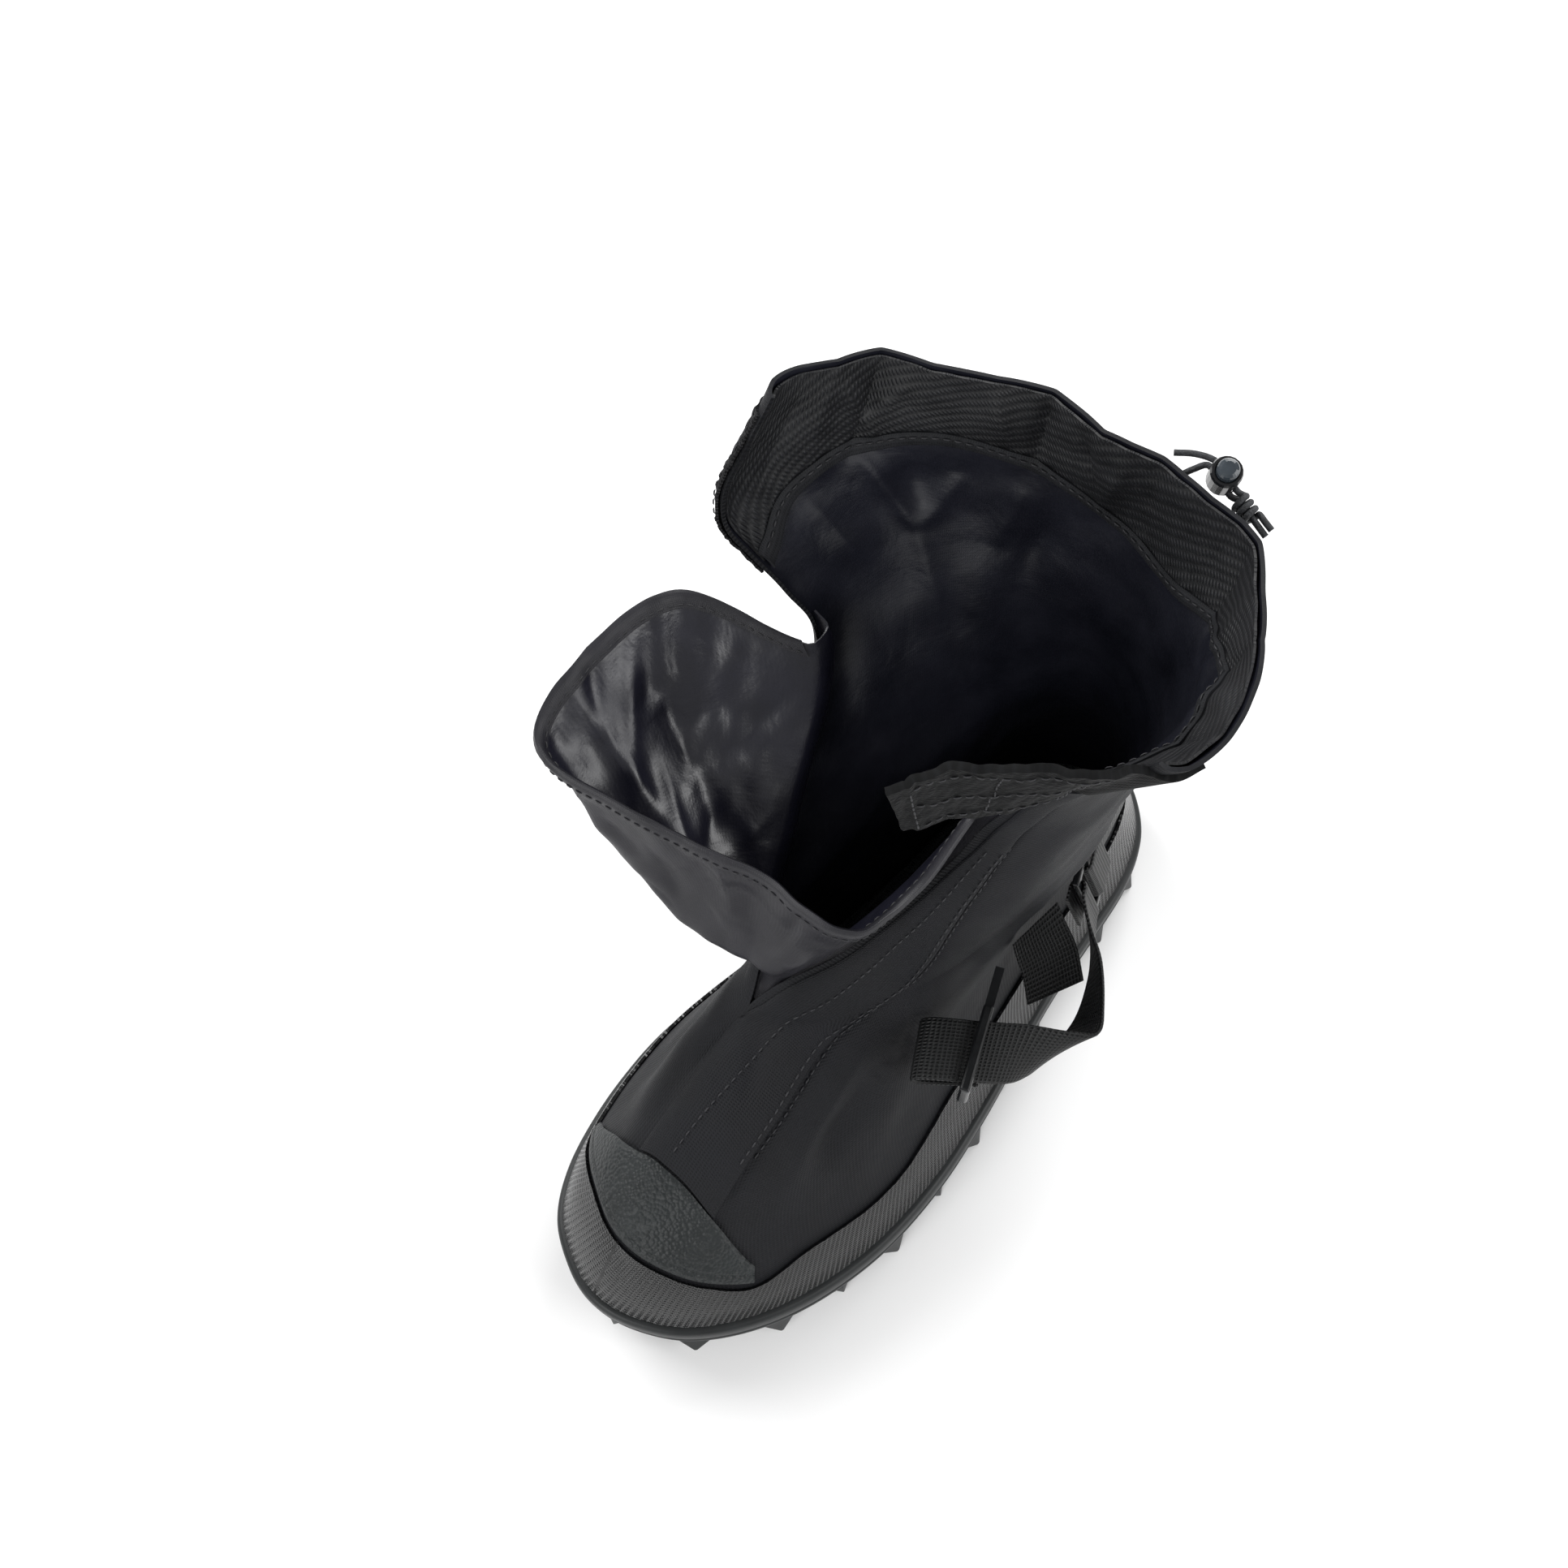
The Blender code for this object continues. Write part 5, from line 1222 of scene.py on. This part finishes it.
ringBar = np.array((39.4, 80.2, 88.8)) * (stepX, stepY, stepZ) + place
ringRun = unit((-0.42, 0.90, 0.0))
ringAcross = np.array((-0.42, 0.12, 0.90))
ringAcross = unit(ringAcross - ringRun * (ringAcross @ ringRun))
ringOut = unit(np.cross(ringRun, ringAcross))


def barWrap(bar, toward, start, stop):
    radius = 0.62 * strapSettings["ringWire"] + shoe["seamGap"] + strapSettings["wall"] / 2
    angles = np.radians(np.linspace(start, stop, 9))
    return [(bar + (toward * math.cos(a) + ringOut * math.sin(a)) * radius, ringAcross) for a in angles]


def webbingPiece(name, rows, nodes):
    # a strap of webbing through its middle points, each with the direction of its width
    centres = np.array([row[0] for row in rows])
    sides = np.array([row[1] for row in rows])
    places = arcPlaces(centres)
    at = placesBetween(places, [max(1, round(g / 0.0009)) for g in np.diff(places)])
    line = np.stack([curveThrough(places, centres[:, k], at) for k in range(3)], -1)
    across = np.stack([curveThrough(places, sides[:, k], at) for k in range(3)], -1)
    across /= np.linalg.norm(across, axis=-1, keepdims=True)
    ahead = np.gradient(line, axis=0)
    ahead /= np.linalg.norm(ahead, axis=-1, keepdims=True)
    facing = np.cross(ahead, across)
    facing /= np.linalg.norm(facing, axis=-1, keepdims=True)
    half, thick = strapSettings["width"] / 2, strapSettings["wall"] / 2
    loop = []
    widths = np.linspace(-1, 1, 25)
    for u in widths:
        loop.append((u * half, thick * (1 - 0.55 * max(0.0, abs(u) - 0.92) / 0.08)))
    loop = loop + [(u, -w) for u, w in reversed(loop)]
    verts, uvs = [], []
    for k in range(len(line)):
        for u, w in loop:
            verts.append(line[k] + across[k] * u + facing[k] * w)
            uvs.append((u + half, at[k]))
    item = makePiece(name, verts, tubeFaces(len(line), len(loop)), uvs)
    inEditMode(item, bpy.ops.mesh.normals_make_consistent, inside=False)
    dress(item, [webbing], nodes, angle=50)


wrap = barWrap(ringBar, ringRun, -90, 90)
rows = [(wrap[0][0] - ringRun * 0.007, ringAcross), (wrap[0][0] - ringRun * 0.0035, ringAcross)] + wrap
rows += [(wrap[-1][0] - ringRun * 0.0035, ringAcross)] + tableRows(strapTable)
webbingPiece("instepWebbing", rows, ["instep_strap"])
webbingPiece("ankleWebbing",tableRows(ankleTable), ["ankle_strap"])
heelTurns = np.linspace(fullTurn - 2.45, 2.46, 13)
rows = []
for turn in heelTurns:
    rise = bareShell(4.55, turn) - bareShell(3.75, turn)
    rows.append((
        bareShell(4.15, turn) + shellNormal(4.15, turn) * (shoe["foldGap"] + strapSettings["wall"]),
        unit(rise),
    ))
wrap = barWrap(
    ringBar + ringRun * (strapSettings["ringOpening"] + strapSettings["ringWire"]), -ringRun, -90, 90,
)
rows.append((wrap[0][0] + ringRun * 0.004, unit(ringAcross + rows[-1][1])))
rows += wrap + [(wrap[-1][0] + ringRun * 0.006, ringAcross), (wrap[-1][0] + ringRun * 0.013, ringAcross)]
webbingPiece("heelWebbing", rows, ["heel_strap"])
print("straps made")

# closure flap, padded, with hook tape on its inner face
flapTable = (
    (46, 32, 300, 27, 32), (35.5, 24, 300, 20, 24), (23, 14, 300, 13, 14), (10.8, 4, 299, 6.5, 6),
    (1.5, -13, 296, 1.3, -2),
)
flapSettings = {"wall": 0.0028, "height": 0.050}
flapEdges = []
for stage, upperEdge in ((16.8, True), (15.0, False)):
    out = shoe["seamGap"] + flapSettings["wall"] / 2
    route = [onShell(stage, float(turnFrom(np.array(stage), 1, d)), out) for d in (0.014, 0.006)]
    route.append(onShell(stage, 0.0, out + 0.0008))
    for row in flapTable:
        if upperEdge:
            point = np.array(row[0:3]) * (stepX, stepY, stepZ)
        else:
            lowZ = shoe["collarHeight"] - flapSettings["height"]
            point = np.array((row[3] * stepX, row[4] * stepY, lowZ))
        route.append(point + place)
    flapEdges.append(evenRow(roundRow(np.array(route), 20), 90))
shares = np.linspace(0, 1, 56)
flapGrid = flapEdges[1][None] * (1 - shares)[:, None, None] + flapEdges[0][None] * shares[:, None, None]
flapNormal = np.cross(np.gradient(flapGrid, axis=1), np.gradient(flapGrid, axis=0))
flapNormal /= np.linalg.norm(flapNormal, axis=-1, keepdims=True)
fu, fv = np.meshgrid(np.linspace(0, 1, 91), shares)
quilt = 0.0008 * wander(flapGrid, 0.016, 31) + 0.0005 * wander(flapGrid, 0.007, 32)
for line in (0.12, 0.5, 0.88):
    quilt -= 0.0006 * np.exp(-((fv - line) / 0.012) ** 2)
quilt -= 0.0006 * np.exp(-((fu - 0.93) / 0.008) ** 2)
flapGrid = flapGrid + flapNormal * (quilt * smooth(0.12, 0.3, fu))[..., None]
flap = gridPiece("closureFlap", flapGrid)
paint(flap, [flapTwillPaintedShade])
wall = flap.modifiers.new("wall", "SOLIDIFY")
wall.thickness = flapSettings["wall"]
wall.offset = 0.0
wall.use_even_offset = False
bevel = flap.modifiers.new("soften", "BEVEL")
bevel.width = 0.0009
bevel.segments = 3
bevel.limit_method = "ANGLE"
bevel.angle_limit = math.radians(50)
applyModifiers(flap)
dress(flap, [flapTwillPaintedShade], ["closure_flap"], angle=50)
inner = slice(34, 86)
hookGrid = (flapGrid + flapNormal * 0.0016)[8:48, inner]
hook = gridPiece(
    "hookTape", hookGrid + 0.0002 * wander(hookGrid, 0.002, 33)[..., None] * flapNormal[8:48, inner],
)
addWall(hook, 0.0008, True)
dress(hook, [loopTape])
for row in (7, 28, 49):
    sewAlong(flapGrid[row, 26:86] - flapNormal[row, 26:86] * 0.0015, -flapNormal[row, 26:86])
for column in (30, 57, 84):
    sewAlong(flapGrid[6:50, column] - flapNormal[6:50, column] * 0.0015, -flapNormal[6:50, column])
print("flap made")

# the hardware keeps its solids and gets its plastics
for nodeName, finish in (
    ("strap_ring", glossPlastic), ("buckle", glossPlastic), ("cord_lock", glossPlastic),
    ("lock_button", buttonPlastic),
):
    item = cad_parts[nodeName]
    item.data.materials.clear()
    paint(item, [finish])

# drawcord: two legs through the lock, one with the wrapped knot
cordSettings = {"diameter": 0.0022, "lockDiameter": 0.0108, "lockStage": 16.75, "lockTurn": 2.72}
aheadCord = bareShell(cordSettings["lockStage"], cordSettings["lockTurn"] - 0.05) - bareShell(
    cordSettings["lockStage"], cordSettings["lockTurn"] + 0.05,
)
aheadCord[2] = 0.0
lockAxis = unit((0.16, -0.26, 0.95))
aheadCord = unit(aheadCord)
cordAlong = unit(aheadCord - lockAxis * (aheadCord @ lockAxis))
cordAcross = unit(np.cross(lockAxis, cordAlong))
lockNormal = shellNormal(cordSettings["lockStage"], cordSettings["lockTurn"])
lockCentre = bareShell(cordSettings["lockStage"], cordSettings["lockTurn"]) + lockNormal * (
    shoe["seamGap"] + cordSettings["lockDiameter"] / 2 + 0.0035
)
cordRadius = cordSettings["diameter"] / 2
for cordName, nodeName, side in (
    ("drawcordKnotLeg", "drawcord_a", 1), ("drawcordPlainLeg", "drawcord_b", -1),
):
    outer = side * (cordAcross @ lockNormal) > 0
    startTurn = cordSettings["lockTurn"] + (0.24 if outer else 0.14)
    startStage = cordSettings["lockStage"] + (0.06 if outer else -0.14)
    startOut = shoe["seamGap"] + cordRadius + (0.0006 if outer else -0.0006)
    start = bareShell(startStage, startTurn) + shellNormal(startStage, startTurn) * startOut
    beside = cordRadius + 0.00025
    half = cordSettings["lockDiameter"] / 2
    entry = lockCentre - cordAlong * (half + 0.002) + cordAcross * (side * beside)
    points = [start, start + (entry - start) * 0.5 + cordAcross * (side * 0.0008)]
    for p in (-half - 0.001, -0.4 * half, 0.4 * half, half + 0.001):
        points.append(lockCentre + cordAlong * p + cordAcross * (side * beside))
    knot = lockCentre + cordAlong * (half + 0.0035)
    coil, pitch = 2 * cordRadius + 0.0004, 2 * cordRadius + 0.0003
    if side > 0:
        for k in range(37):
            a = fullTurn * k / 12
            around = cordAcross * math.cos(a) + lockAxis * math.sin(a)
            points.append(knot + cordAlong * (pitch * k / 12) + around * coil)
        end = knot + cordAlong * (pitch * 3)
        points.append(end + cordAlong * 0.003 + cordAcross * (coil * 0.9) + lockAxis * 0.001)
        points.append(end + cordAlong * 0.0065 + cordAcross * (coil * 0.95) + lockAxis * 0.001)
    else:
        for p in (0.0, 0.004, 0.008, 0.0145):
            points.append(knot + cordAlong * p)
    line = roundRow(np.array(points), 4)
    ahead = np.gradient(line, axis=0)
    ahead /= np.linalg.norm(ahead, axis=-1, keepdims=True)
    first = unit(np.cross(ahead[0], (0.3, 0.2, 0.9)))
    verts, uvs = [], []
    lengths = arcPlaces(line)
    sides = 16
    for k in range(len(line)):
        first = unit(first - ahead[k] * (first @ ahead[k]))
        second = np.cross(ahead[k], first)
        for q in range(sides):
            a = fullTurn * q / sides
            verts.append(line[k] + (first * math.cos(a) + second * math.sin(a)) * cordRadius)
            uvs.append((cordRadius * a, lengths[k]))
    leg = makePiece(cordName, verts, tubeFaces(len(line), sides), uvs)
    dress(leg, [braidedCord], [nodeName], angle=60)
print("cords made")

thread = makePiece("stitching", stitchVerts, stitchFaces)
dress(thread, [sewingThread], angle=60)
print("stitches", len(stitchFaces))
